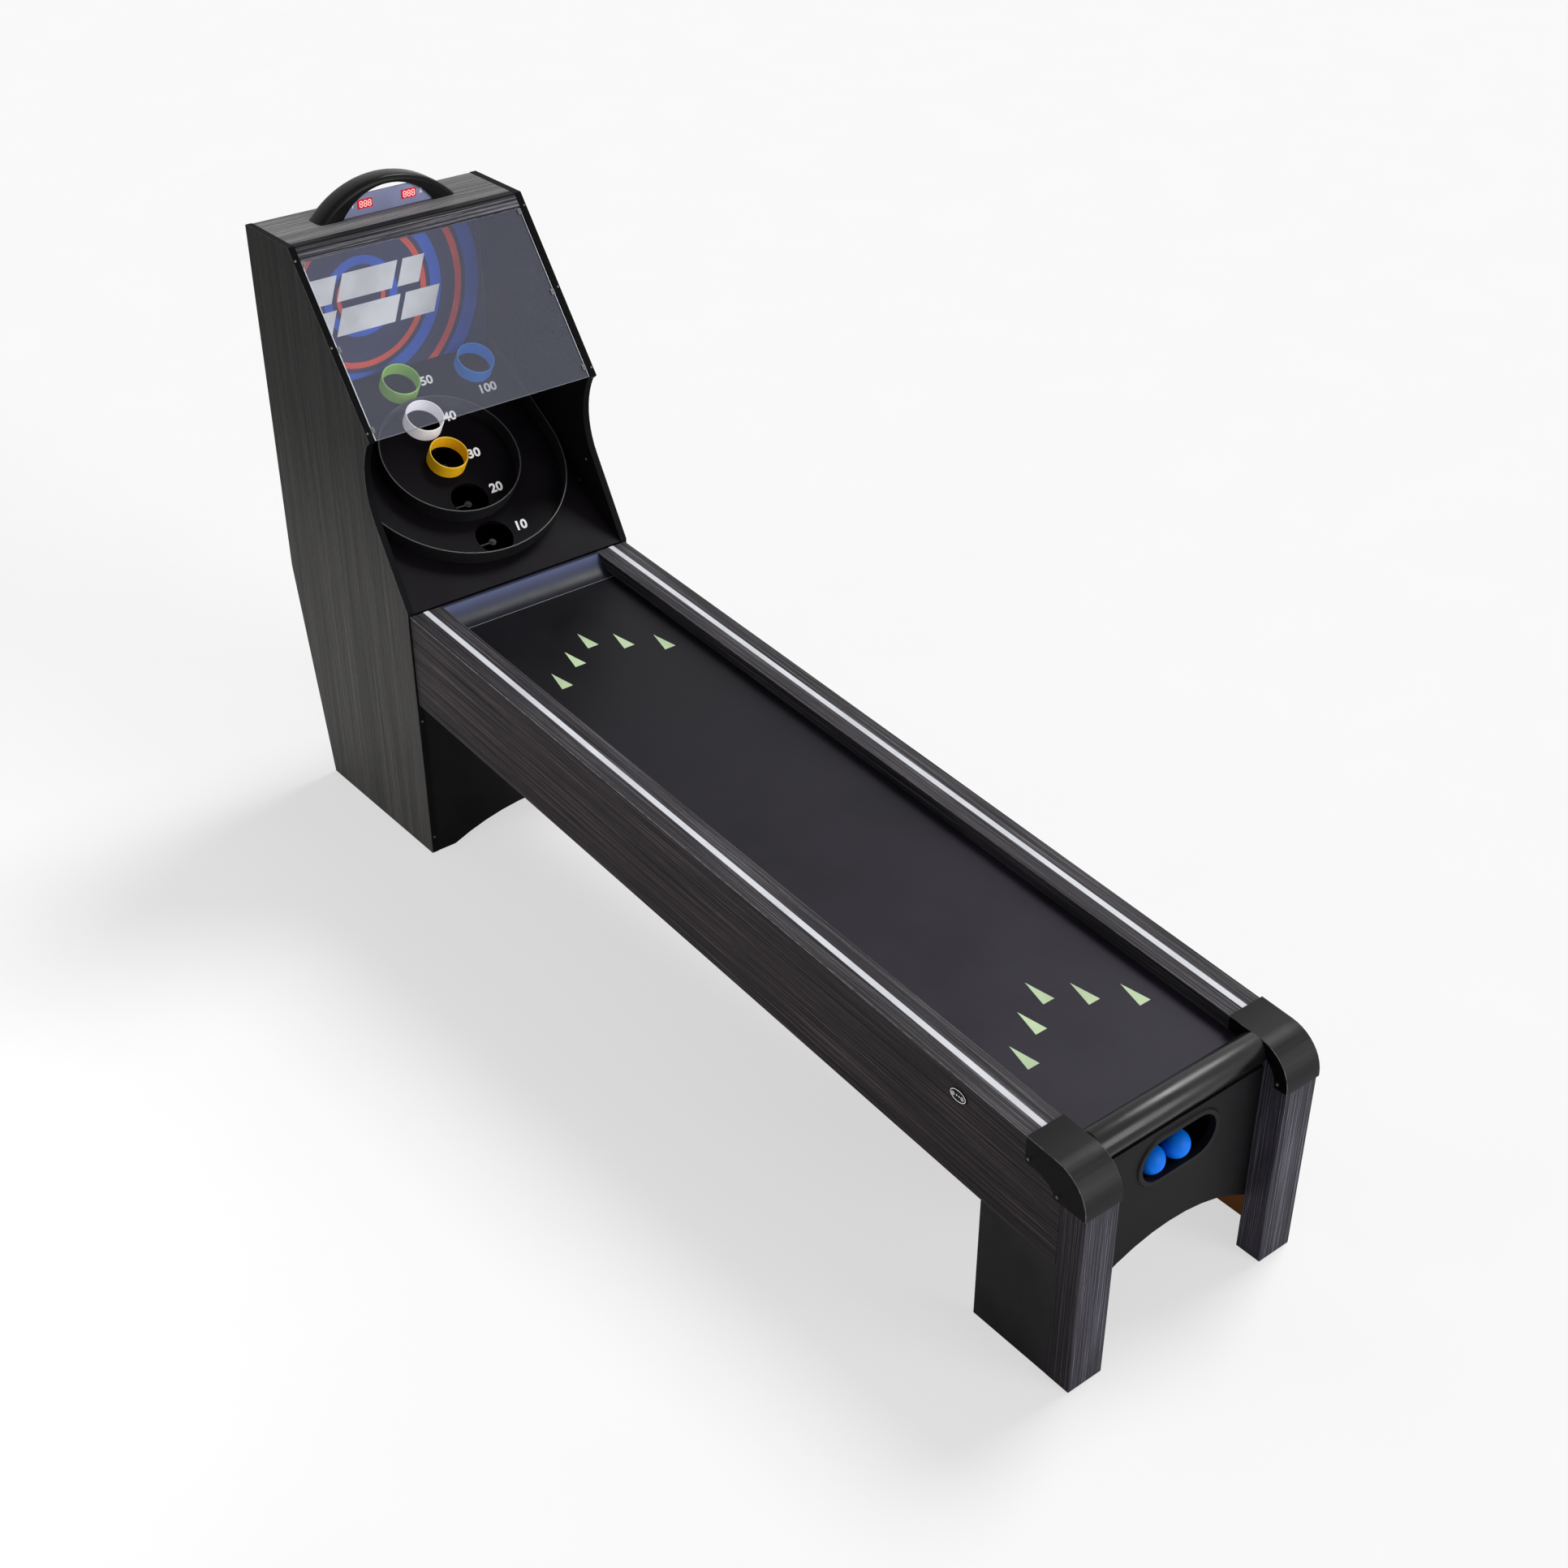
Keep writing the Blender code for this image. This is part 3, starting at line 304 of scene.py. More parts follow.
def between(look, value, low, high):
    """1 where a value lies between two limits."""
    return look.calc("MULTIPLY", look.calc("GREATER_THAN", value, low),
                     look.calc("LESS_THAN", value, high))


def inside_of(limit, shade):
    """Another colour nearer the middle than a limit, where the foil ends."""
    def change(look, tone):
        return look.mix(look.calc("LESS_THAN", away(look), limit), tone, shade)
    return change


def painted_edge_glint(look, tone, mask, shade, strength):
    """Painted edge highlight: the mask broken up by noise and the light colour mixed in."""
    broken = look.ramp(look.noise(60.0, 3.0), (0.35, 0.35), (0.6, 1.0))
    part = look.calc("MULTIPLY", look.calc("MULTIPLY", mask, strength), broken)
    return look.mix(part, tone, shade)


# How deep an outer face's painted shade goes, and how far a painted edge highlight reaches down and
# across
SKIN = 0.0008
GLINT_DEPTH, GLINT_WIDTH = 0.0013, 0.0012
# Colour of the painted edge highlights
GLINT_GREY = (0.26, 0.25, 0.27)
# Painted shade that darkens and browns the outer faces of rails, side boards and posts
OUTER_PAINTED_SHADE = (0.58, 0.50, 0.47)
RAW = (0.22, 0.082, 0.026)
BLACK_INSIDE = (0.006, 0.006, 0.007)

RAIL_OUT = abs(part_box("left_rail_cap")[0].x)
RAIL_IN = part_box("right_rail_cap")[0].x
POST_OUT = abs(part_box("left_front_post")[0].x)
SIDE_OUT = abs(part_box("left_cabinet_side")[0].x)
LEG_OUT = 0.2895
BOARD_DEPTH = 0.2365
RAMP_RISE = 0.042


def rail_painted_shade_and_glint(look, tone):
    """Painted shade that darkens and browns the outer faces, with painted highlights along the top
    edges.
    """
    outer = look.calc("GREATER_THAN", away(look), RAIL_OUT - SKIN)
    tone = look.mix(outer, tone, look.mix(1.0, tone, OUTER_PAINTED_SHADE, "MULTIPLY"))
    near_top = look.calc("GREATER_THAN", over_rail(look), -GLINT_DEPTH)
    for side, limit, strength in (("GREATER_THAN", RAIL_OUT - GLINT_WIDTH, 0.9),
                                  ("LESS_THAN", RAIL_IN + GLINT_WIDTH, 0.45)):
        rim = look.calc("MULTIPLY", near_top, look.calc(side, away(look), limit))
        tone = painted_edge_glint(look, tone, rim, GLINT_GREY, strength)
    return tone


def board_painted_shade_and_glint(look, tone):
    """Side boards with the rails' painted outer-face shade, and a painted highlight along the
    bottom edge.
    """
    tone = look.mix(1.0, tone, OUTER_PAINTED_SHADE, "MULTIPLY")
    low = look.calc("LESS_THAN", over_rail(look), GLINT_DEPTH - BOARD_DEPTH)
    return painted_edge_glint(look, tone, low, GLINT_GREY, 0.4)


def side_foil_and_painted_light(look, tone):
    """Foil on the outer skin only, with black edging and inside, and painted light and shade."""
    tone = look.mix(look.calc("LESS_THAN", away(look), SIDE_OUT - 0.0015), tone, BLACK_INSIDE)
    # Painted light low down and painted shade towards the top, for how the light falls on the side
    height = look.calc("DIVIDE", look.axis("Z"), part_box("left_cabinet_side")[1].z)
    tone = look.mix(1.0, tone, look.ramp(height, (0.10, 1.30), (0.45, 1.0), (0.72, 0.46),
                                         (1.0, 0.33)), "MULTIPLY")
    # Painted highlight along the foil's edge
    rim = between(look, away(look), SIDE_OUT - 0.0013, SIDE_OUT - 0.0003)
    return painted_edge_glint(look, tone, rim, (0.10, 0.10, 0.10), 0.7)


def fascia_shades(look, tone):
    """Dark joint where the fascia meets the top."""
    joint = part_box("header_fascia")[1].z - 0.0035
    return look.mix(look.calc("GREATER_THAN", look.axis("Z"), joint), tone, BLACK_INSIDE)


def lane_painted_sheen_and_shade(look, tone):
    """Painted reflection makes the lane's near end paler, and painted shade darkens its far end."""
    low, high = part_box("lane_board")
    part = look.calc("DIVIDE", look.calc("SUBTRACT", look.axis("Y"), low.y), high.y - low.y)
    return look.mix(1.0, tone, look.ramp(part, (0.0, 1.7), (0.45, 0.85), (0.85, 0.18)), "MULTIPLY")


def cap_painted_highlights(look, tone):
    """Painted highlights round the caps' bend and along their side edges, with darker tops."""
    part = look.add("ShaderNodeSeparateXYZ")
    look.join(look.add("ShaderNodeNewGeometry").outputs["True Normal"], part.inputs[0])
    lean = look.calc("ABSOLUTE", part.outputs["X"])
    # Painted highlight round the bend, darkest on top
    bend_highlight = look.ramp(part.outputs["Z"], (0.0, 0.016), (0.40, 0.022), (0.72, 0.034), (0.92, 0.018),
                     (1.0, 0.007))
    tone = look.mix(look.calc("LESS_THAN", lean, 0.30), tone, bend_highlight)
    return painted_edge_glint(look, tone, between(look, lean, 0.30, 0.95), (0.22, 0.22, 0.22), 0.9)


def post_painted_shade(look, tone):
    """Painted shade: darker, browner outer faces of the front posts."""
    outer = look.calc("GREATER_THAN", away(look), POST_OUT - SKIN)
    return look.mix(outer, tone, look.mix(1.0, tone, (0.50, 0.44, 0.42), "MULTIPLY"))


def painted_rim_highlight(node, shade, strength):
    """Painted highlight along the top rim of a cup or hoop."""
    def height(v):
        """How far a vertex lies off the board's face."""
        return (v.co.z - BOARD_HEIGHT) * cos_board - (v.co.y - BOARD_START) * sin_board
    top = max(height(v) for v in nodes[node].data.vertices)

    def change(look, tone):
        mask = look.calc("GREATER_THAN", over_board(look), top - 0.0012)
        return look.mix(look.calc("MULTIPLY", mask, strength), tone, shade)
    return change


def ramp_painted_reflection(look, tone):
    """Painted blue-grey reflection in place of the plain tone, darker towards the foot of the ramp.
    """
    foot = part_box("hop_ramp")[1].z - RAMP_RISE
    rise = look.calc("DIVIDE", look.calc("SUBTRACT", look.axis("Z"), foot), RAMP_RISE)
    return look.ramp(rise, (0.0, (0.006, 0.006, 0.008)), (0.35, (0.018, 0.020, 0.030)),
                     (0.75, (0.070, 0.082, 0.150)), (0.93, (0.090, 0.105, 0.200)),
                     (1.0, (0.030, 0.034, 0.060)))


# Foil tones: dark lines, middle and light
POST_TONES = (0.007, 0.006, 0.008), (0.044, 0.041, 0.054), (0.190, 0.176, 0.225)
RAIL_TONES = (0.009, 0.008, 0.009), (0.041, 0.037, 0.042), (0.150, 0.140, 0.155)
SIDE_TONES = (0.046, 0.045, 0.044), (0.074, 0.072, 0.070), (0.100, 0.098, 0.095)
# The top's tones, lighter than the cabinet sides', are painted light from above
TOP_TONES = (0.080, 0.080, 0.081), (0.180, 0.179, 0.183), (0.330, 0.328, 0.335)
FASCIA_TONES = (0.006, 0.006, 0.007), (0.055, 0.054, 0.063), (0.240, 0.236, 0.262)

wood_post = woodgrain("post woodgrain", "Z", POST_TONES, fine=1.2, after=post_painted_shade)
wood_rail = woodgrain("rail woodgrain", "Y", RAIL_TONES, -slope_angle, after=rail_painted_shade_and_glint)
wood_board = woodgrain("side board woodgrain", "Y", RAIL_TONES, -slope_angle, after=board_painted_shade_and_glint)
wood_side = woodgrain("cabinet side woodgrain", "Z", SIDE_TONES, 0.0, 0.03, 1.3, side_foil_and_painted_light, 0.4)
wood_top = woodgrain("top woodgrain", "X", TOP_TONES, 0.0, 0.08, cut=0.6)
wood_fascia = woodgrain("fascia woodgrain", "X", FASCIA_TONES, 0.0, 0.06, 0.7, fascia_shades)
laminate_black = laminate("black laminate", (0.010, 0.0095, 0.0105), 0.45, 0.06)
laminate_leg = laminate("leg laminate", (0.024, 0.0235, 0.0235), 0.48, 0.05,
                        inside_of(LEG_OUT, RAW))
laminate_board = laminate("target board black", (0.0042, 0.0032, 0.0047), 0.45, 0.04)
laminate_lane = laminate("lane surface", (0.0100, 0.0082, 0.0130), 0.40, 0.12, lane_painted_sheen_and_shade)
laminate_lane.plain("Specular Tint", (0.90, 0.88, 1.0, 1.0))
raw_board = laminate("raw fibreboard", RAW, 0.85, 0.2)
plastic_black = moulded("black plastic", (0.007, 0.007, 0.007), 0.33, 0.075)
cap_black = moulded("corner cap black", (0.003, 0.003, 0.003), 0.33, 0.06, after=cap_painted_highlights)
arch_black = moulded("scoreboard arch black", (0.005, 0.005, 0.0055), 0.28, 0.08)
bar_black = moulded("black bar", (0.005, 0.005, 0.005), 0.27, 0.30, 1100.0, 0.00008)
ramp_painted_sheen = moulded("ramp surface", (0.020, 0.021, 0.029), 0.34, 0.12, after=ramp_painted_reflection)
ball_blue = moulded("ball blue", (0.001, 0.165, 0.80), 0.42, 0.12, 1200.0, 0.00004)
lever_grey = moulded("lever grey", (0.026, 0.026, 0.028), 0.42, 0.2)
button_black = moulded("button black", (0.012, 0.012, 0.013), 0.4, 0.2)
face_grey = moulded("face print", (0.28, 0.30, 0.48), 0.35, 0.2)
circuit_green = moulded("circuit board", (0.02, 0.14, 0.05), 0.45, 0.4)
display_red = moulded("display window", (0.35, 0.012, 0.015), 0.18, 0.3)
display_red.plain("Emission Color", (0.9, 0.02, 0.03, 1.0))
display_red.plain("Emission Strength", 0.35)
art_navy = moulded("backboard print", (0.026, 0.028, 0.078), 0.45, 0.1)

strip_light = moulded("strip diffuser", (0.46, 0.47, 0.50), 0.35, 0.2)
strip_light.plain("Emission Color", (0.93, 0.95, 1.0, 1.0))
strip_light.plain("Emission Strength", 0.24)


def clear_sheet():
    """Thin clear acrylic: see-through with a cool mirror sheen that grows at a slant."""
    look = Look("clear sheet", 0.03, 0.5, 1.0)
    output = next(n for n in look.tree.nodes if n.type == "OUTPUT_MATERIAL")
    look.colour(look.ramp(look.noise(7.0, 3.0), (0.3, (0.72, 0.75, 0.96)),
                          (0.7, (0.78, 0.80, 1.0))))
    clear = look.add("ShaderNodeBsdfTransparent")
    clear.inputs["Color"].default_value = (0.97, 0.975, 0.985, 1.0)
    weight = look.add("ShaderNodeLayerWeight")
    weight.inputs["Blend"].default_value = 0.5
    rise = look.calc("POWER", weight.outputs["Facing"], 5.0)
    share = look.calc("ADD", look.calc("MULTIPLY", rise, 0.94), 0.058)
    seen = look.add("ShaderNodeMixShader")
    look.join(share, seen.inputs[0])
    look.join(clear.outputs[0], seen.inputs[1])
    look.join(look.shader.outputs[0], seen.inputs[2])
    look.join(seen.outputs[0], output.inputs["Surface"])
    return look.material


def assign(material, *names):
    """Give carried-over CAD nodes their finished material."""
    material = getattr(material, "material", material)
    for name in names:
        slots = nodes[name].data.materials
        for i in range(len(slots)):
            slots[i] = material


assign(wood_post, "left_front_post", "right_front_post")
assign(wood_rail, "left_rail_cap", "right_rail_cap")
assign(wood_board, "left_side_board", "right_side_board")
assign(wood_side, "left_cabinet_side", "right_cabinet_side")
assign(wood_top, "cabinet_top")
assign(wood_fascia, "header_fascia")
assign(laminate_leg, "left_leg_panel", "right_leg_panel")
assign(laminate_black, "front_panel", "cabinet_front_panel", "upper_back_panel", "lower_back_panel",
       "catch_tray")
assign(laminate_board, "target_board")
assign(laminate_lane, "lane_board")
assign(raw_board, "front_lane_bearer", "rear_lane_bearer")
assign(cap_black, "left_corner_cap", "right_corner_cap")
assign(plastic_black, "slot_bezel", "ball_trough", "ball_return_chute", "control_bezel",
       "centre_sensor_rail", "left_sensor_rail", "right_sensor_rail", "power_inlet")
assign(arch_black, "scoreboard_arch")
assign(bar_black, "front_bar")
assign(ramp_painted_sheen, "hop_ramp")
assign(strip_light, "left_light_strip", "right_light_strip")
assign(clear_sheet(), "clear_shield")
assign(art_navy, "backboard")
# Hoops and cups: name, colour, then the colour and strength of the painted highlight along the rim
for name, colour, rim, strength in (
        ("small_score_hoop", (0.013, 0.013, 0.014), (0.11, 0.11, 0.12), 0.45),
        ("large_score_hoop", (0.013, 0.013, 0.014), (0.11, 0.11, 0.12), 0.45),
        ("score_cup_30", (0.86, 0.46, 0.010), (1.0, 0.72, 0.10), 0.7),
        ("score_cup_40", (0.84, 0.82, 0.86), (0.95, 0.95, 0.95), 0.7),
        ("score_cup_50", (0.22, 0.44, 0.055), (0.50, 0.72, 0.28), 0.8),
        ("score_cup_left_100", (0.010, 0.17, 0.60), (0.15, 0.42, 0.70), 0.8),
        ("score_cup_right_100", (0.010, 0.17, 0.60), (0.15, 0.42, 0.70), 0.8)):
    look = moulded(name.replace("_", " "), colour, 0.32, 0.25, after=painted_rim_highlight(name, rim, strength))
    # Cups glow faintly in their own colour: painted light that brightens them inside the hood
    if "cup" in name:
        look.plain("Emission Color", (*colour, 1.0))
        look.plain("Emission Strength", 0.12 if name == "score_cup_30" else 0.28)
    assign(look, name)
assign(lever_grey, *[n for n in nodes if n.startswith("sensor_lever")])
assign(button_black, "light_button", "sound_button")
assign(face_grey, "scoreboard_face")
assign(display_red, "left_score_display", "right_score_display")
assign(circuit_green, "scoreboard_circuit")


# ---------------------------------------------------------------- pieces
def piece(name, bm, material, body="table", smooth=None, place=None):
    """Turn a bmesh into a piece that rides on a CAD body; smooth is the least sharp angle."""
    bmesh.ops.recalc_face_normals(bm, faces=bm.faces)
    mesh = bpy.data.meshes.new(name)
    bm.to_mesh(mesh)
    bm.free()
    if smooth is not None:
        mesh.shade_smooth()
        mesh.set_sharp_from_angle(angle=smooth)
    made = bpy.data.objects.new(name, mesh)
    bpy.context.scene.collection.objects.link(made)
    mesh.materials.append(getattr(material, "material", material))
    if place is not None:
        made.matrix_world = place
    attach(made, body)
    return made


def plate(bm, outline, thickness, place):
    """Add a thin flat solid to bm: outline in the plane of place, rising along its Z."""
    low = [bm.verts.new(place @ Vector((x, y, 0.0))) for x, y in outline]
    high = [bm.verts.new(place @ Vector((x, y, thickness))) for x, y in outline]
    bm.faces.new(low[::-1])
    bm.faces.new(high)
    for i in range(len(outline)):
        j = (i + 1) % len(outline)
        bm.faces.new((low[i], low[j], high[j], high[i]))


ink_white = moulded("ink white", (0.88, 0.88, 0.90), 0.45, 0.2)
ink_green = moulded("ink green", (0.53, 0.68, 0.42), 0.5, 0.2)
ink_orange = moulded("ink orange", (0.80, 0.085, 0.030), 0.45, 0.2)
ink_blue = moulded("ink blue", (0.020, 0.110, 0.62), 0.45, 0.2)
ink_dim = moulded("ramp joint", (0.20, 0.20, 0.21), 0.45, 0.2)
# Numerals glow faintly: painted light that keeps them white inside the hood
numeral_painted_glow = moulded("numeral white", (0.90, 0.90, 0.92), 0.45, 0.2)
numeral_painted_glow.plain("Emission Color", (1.0, 1.0, 1.0, 1.0))
numeral_painted_glow.plain("Emission Strength", 0.22)
digit_glow = moulded("digit glow", (0.9, 0.45, 0.45), 0.4, 0.3)
digit_glow.plain("Emission Color", (1.0, 0.42, 0.42, 1.0))
digit_glow.plain("Emission Strength", 0.9)

# Arrows printed on the lane; tips are places across it and along it from the front posts
ARROW_BASE, ARROW_LENGTH = 0.029, 0.066
ARROW_TIPS = ((0.0, 0.472), (0.070, 0.420), (-0.070, 0.420), (0.147, 0.361), (-0.147, 0.361),
              (0.0, 1.973), (0.068, 1.925), (-0.068, 1.925), (0.143, 1.868), (-0.143, 1.868))
bm = bmesh.new()
for x, run in ARROW_TIPS:
    plate(bm, ((-ARROW_BASE / 2, 0.0), (ARROW_BASE / 2, 0.0), (0.0, ARROW_LENGTH)), PRINT_LIFT,
          on_lane(x, post_y + run - ARROW_LENGTH))
piece("lane_arrows", bm, ink_green)

# Light joint line across the lane at the foot of the ramp
JOINT_WIDTH, JOINT_START = 0.0018, 0.0022
low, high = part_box("hop_ramp")
bm = bmesh.new()
plate(bm, ((-high.x, 0.0), (high.x, 0.0), (high.x, JOINT_WIDTH), (-high.x, JOINT_WIDTH)),
      PRINT_LIFT, on_lane(0.0, low.y - JOINT_START))
piece("ramp_joint_line", bm, ink_dim)


def lettering(name, words, size, place, material, slant, bold):
    """Printed numerals: a solid mesh from the built-in face, slanted and bold."""
    curve = bpy.data.curves.new(name, "FONT")
    curve.body = words
    curve.size = size
    curve.shear = slant
    curve.offset = bold * size
    curve.extrude = PRINT_LIFT / 2
    curve.align_x, curve.align_y = "CENTER", "CENTER"
    curve.resolution_u = 4
    text = bpy.data.objects.new(name + "_curve", curve)
    bpy.context.scene.collection.objects.link(text)
    bpy.context.view_layer.update()
    mesh = bpy.data.meshes.new_from_object(text.evaluated_get(
        bpy.context.evaluated_depsgraph_get()))
    bpy.data.objects.remove(text)
    bm = bmesh.new()
    bm.from_mesh(mesh)
    bpy.data.meshes.remove(mesh)
    bmesh.ops.remove_doubles(bm, verts=bm.verts, dist=1e-6)
    bmesh.ops.transform(bm, matrix=place, verts=bm.verts)
    piece(name, bm, material)


NUMERAL_SIZE, NUMERAL_SLANT, NUMERAL_BOLD = 0.035, 0.2, 0.03
for name, words, x, s in (
        ("10", "10", 0.077, 0.130), ("20", "20", 0.077, 0.249), ("30", "30", 0.077, 0.358),
        ("40", "40", 0.077, 0.477), ("50", "50", 0.077, 0.594),
        ("left_100", "100", -0.214, 0.525), ("right_100", "100", 0.214, 0.525)):
    lettering(f"numeral_{name}", words, NUMERAL_SIZE, on_board(x, s, PRINT_LIFT / 2),
              numeral_painted_glow, NUMERAL_SLANT, NUMERAL_BOLD)

# Backboard print: rings and slanted bars
BACK_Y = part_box("backboard")[0].y
BACK_LOW, BACK_HIGH, BACK_HALF = 1.012, 1.418, 0.2895
RING_CENTRE = (-0.05, 1.215)
BAR_HEIGHT, BAR_LEAN = 0.066, 0.022


def clipped(name, bm, material):
    """Trim a backboard print to the board and keep it as one piece."""
    for axis, limit in ((0, BACK_HALF), (0, -BACK_HALF), (2, BACK_HIGH), (2, BACK_LOW)):
        normal = Vector((0, 0, 0))
        normal[axis] = 1 if limit in (BACK_HALF, BACK_HIGH) else -1
        place = Vector((0, 0, 0))
        place[axis] = limit
        geometry = bm.verts[:] + bm.edges[:] + bm.faces[:]
        cut = bmesh.ops.bisect_plane(bm, geom=geometry, plane_co=place, plane_no=normal,
                                     clear_outer=True)
        edges = [g for g in cut["geom_cut"] if isinstance(g, bmesh.types.BMEdge)]
        if edges:
            bmesh.ops.contextual_create(bm, geom=edges)
    return piece(name, bm, material)


def ring(bm, inner, outer, steps=48):
    """Flat round band on the backboard."""
    turns = [2 * math.pi * i / steps for i in range(steps + 1)]
    place = facing_player(RING_CENTRE[0], BACK_Y, RING_CENTRE[1])
    for a, b in zip(turns, turns[1:]):
        outline = [(r * math.cos(t), r * math.sin(t)) for r, t in
                   ((inner, a), (outer, a), (outer, b), (inner, b))]
        plate(bm, outline, PRINT_LIFT, place)


for name, material, bands in (
        ("backboard_rings_orange", ink_orange, ((0.165, 0.180), (0.262, 0.280), (0.055, 0.066))),
        ("backboard_rings_blue", ink_blue, ((0.192, 0.222), (0.292, 0.330), (0.078, 0.100)))):
    bm = bmesh.new()
    for inner, outer in bands:
        ring(bm, inner, outer)
    bmesh.ops.remove_doubles(bm, verts=bm.verts, dist=1e-7)
    clipped(name, bm, material)

bm = bmesh.new()
for x, z, width in ((-0.235, 1.215, 0.105), (-0.115, 1.215, 0.150), (0.050, 1.215, 0.060),
                    (-0.200, 1.130, 0.060), (-0.125, 1.130, 0.160), (0.050, 1.130, 0.095)):
    plate(bm, ((0.0, 0.0), (width, 0.0), (width + BAR_LEAN, BAR_HEIGHT), (BAR_LEAN, BAR_HEIGHT)),
          PRINT_LIFT * 2, facing_player(x, BACK_Y, z))
clipped("backboard_bars", bm, ink_white)

# Digits on the two displays, every bar lit: a bar's place across and up, in half widths and half
# heights of a digit, and whether it stands
DIGIT_HEIGHT, DIGIT_WIDTH, STROKE = 0.0130, 0.0072, 0.0021
DIGIT_PITCH = DIGIT_WIDTH * 1.55
BARS = ((0, 1, False), (1, 0.5, True), (1, -0.5, True), (0, -1, False), (-1, -0.5, True),
        (-1, 0.5, True), (0, 0, False))


def digits(name, node, count):
    """A row of lit eights in the middle of a display."""
    low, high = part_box(node)
    middle = (low + high) / 2
    half_w, half_h, t = DIGIT_WIDTH / 2, DIGIT_HEIGHT / 2, STROKE / 2
    bm = bmesh.new()
    for place in range(count):
        shift = (place - (count - 1) / 2) * DIGIT_PITCH
        for across, up, stands in BARS:
            reach = (half_h / 2 if stands else half_w) - t * 0.35
            outline = [(-reach, 0), (-reach + t, t), (reach - t, t), (reach, 0), (reach - t, -t),
                       (-reach + t, -t)]
            spot = facing_player(middle.x + shift + across * half_w, low.y, middle.z + up * half_h)
            if stands:
                spot = spot @ Matrix.Rotation(math.pi / 2, 4, "Z")
            plate(bm, outline, PRINT_LIFT, spot)
    piece(name, bm, digit_glow)


digits("left_display_digits", "left_score_display", 3)
digits("right_display_digits", "right_score_display", 3)

# Player numbers on the scoreboard face, outside the two displays
PLAYER_SIZE, PLAYER_SLANT, PLAYER_BOLD, PLAYER_GAP = 0.016, 0.1, 0.05, 0.0135
face_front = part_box("scoreboard_face")[0].y
for word, words, side in (("left", "1", -1), ("right", "2", 1)):
    low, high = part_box(f"{word}_score_display")
    x = (low.x if side < 0 else high.x) + side * PLAYER_GAP
    lettering(f"{word}_player_number", words, PLAYER_SIZE,
              facing_player(x, face_front - PRINT_LIFT / 2, (low.z + high.z) / 2), ink_white,
              PLAYER_SLANT, PLAYER_BOLD)

# Printed marks on the oval control
CONTROL_LOW, CONTROL_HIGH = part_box("control_bezel")
OUTWARD = Matrix(((0, 0, -1, 0), (-1, 0, 0, 0), (0, 1, 0, 0), (0, 0, 0, 1)))


def oval(half_length, half_height, steps=40):
    """Points round an oval."""
    turns = [2 * math.pi * i / steps for i in range(steps)]
    return [(half_length * math.cos(t), half_height * math.sin(t)) for t in turns]


def loop_band(bm, inner, outer, thickness, place):
    """Add a flat closed band between two like outlines to bm."""
    rows = [[bm.verts.new(place @ Vector((x, y, z))) for x, y in outline]
            for outline, z in ((inner, 0.0), (outer, 0.0), (outer, thickness), (inner, thickness))]
    for k, row in enumerate(rows):
        other = rows[(k + 1) % 4]
        for i in range(len(row)):
            j = (i + 1) % len(row)
            bm.faces.new((row[i], row[j], other[j], other[i]))


middle = (CONTROL_LOW + CONTROL_HIGH) / 2
control_face = Matrix.Translation((CONTROL_LOW.x, middle.y, middle.z)) @ OUTWARD
half_length = (CONTROL_HIGH.y - CONTROL_LOW.y) / 2 - 0.0034
half_height = (CONTROL_HIGH.z - CONTROL_LOW.z) / 2 - 0.0024
bm = bmesh.new()
loop_band(bm, oval(half_length - 0.0016, half_height - 0.0014), oval(half_length, half_height),
          PRINT_LIFT, control_face)
for side in (-1, 1):
    plate(bm, ((side * 0.0008, 0.0), (side * 0.0044, 0.0024), (side * 0.0044, -0.0024)), PRINT_LIFT,
          control_face)
piece("control_marks", bm, ink_white)
for word in ("light", "sound"):
    low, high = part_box(f"{word}_button")
    middle = (low + high) / 2
    spot = Matrix.Translation((low.x, middle.y, middle.z)) @ OUTWARD
    bm = bmesh.new()
    loop_band(bm, oval(0.0030, 0.0030, 24), oval(0.0041, 0.0041, 24), PRINT_LIFT, spot)
    if word == "light":
        plate(bm, oval(0.0012, 0.0012, 12), PRINT_LIFT, spot)
    else:
        plate(bm, ((-0.0014, -0.0009), (0.0012, -0.0018), (0.0012, 0.0018), (-0.0014, 0.0009)),
              PRINT_LIFT, spot)
    piece(f"{word}_button_mark", bm, ink_white, f"{word}_button")

# Least angle between faces that stays a sharp edge on the curved skins
SHARP = math.radians(32.0)


def rounded(slot, *names):
    """Show curved nodes again, each as one connected and smoothly shaded skin."""
    for name in names:
        node = nodes[name]
        bm = bmesh.new()
        bm.from_mesh(node.data)
        bmesh.ops.remove_doubles(bm, verts=bm.verts, dist=1e-6)
        bmesh.ops.dissolve_limit(bm, angle_limit=math.radians(0.5), verts=bm.verts, edges=bm.edges)
        body = name if name in frame["bodies"] else "table"
        made = piece(name + "_moulded", bm, node.data.materials[0], body, SHARP)
        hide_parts(name)


rounded("black_plastic", "left_corner_cap", "right_corner_cap", "slot_bezel", "control_bezel",
        "small_score_hoop", "large_score_hoop", "scoreboard_arch")
rounded("black_bar", "front_bar")
rounded("ramp_surface", "hop_ramp")
rounded("cup_yellow", "score_cup_30")
rounded("cup_white", "score_cup_40")
rounded("cup_green", "score_cup_50")
rounded("cup_blue", "score_cup_left_100", "score_cup_right_100")
rounded("button_white", "light_button", "sound_button")
rounded("lever_grey", *[n for n in nodes if n.startswith("sensor_lever")])

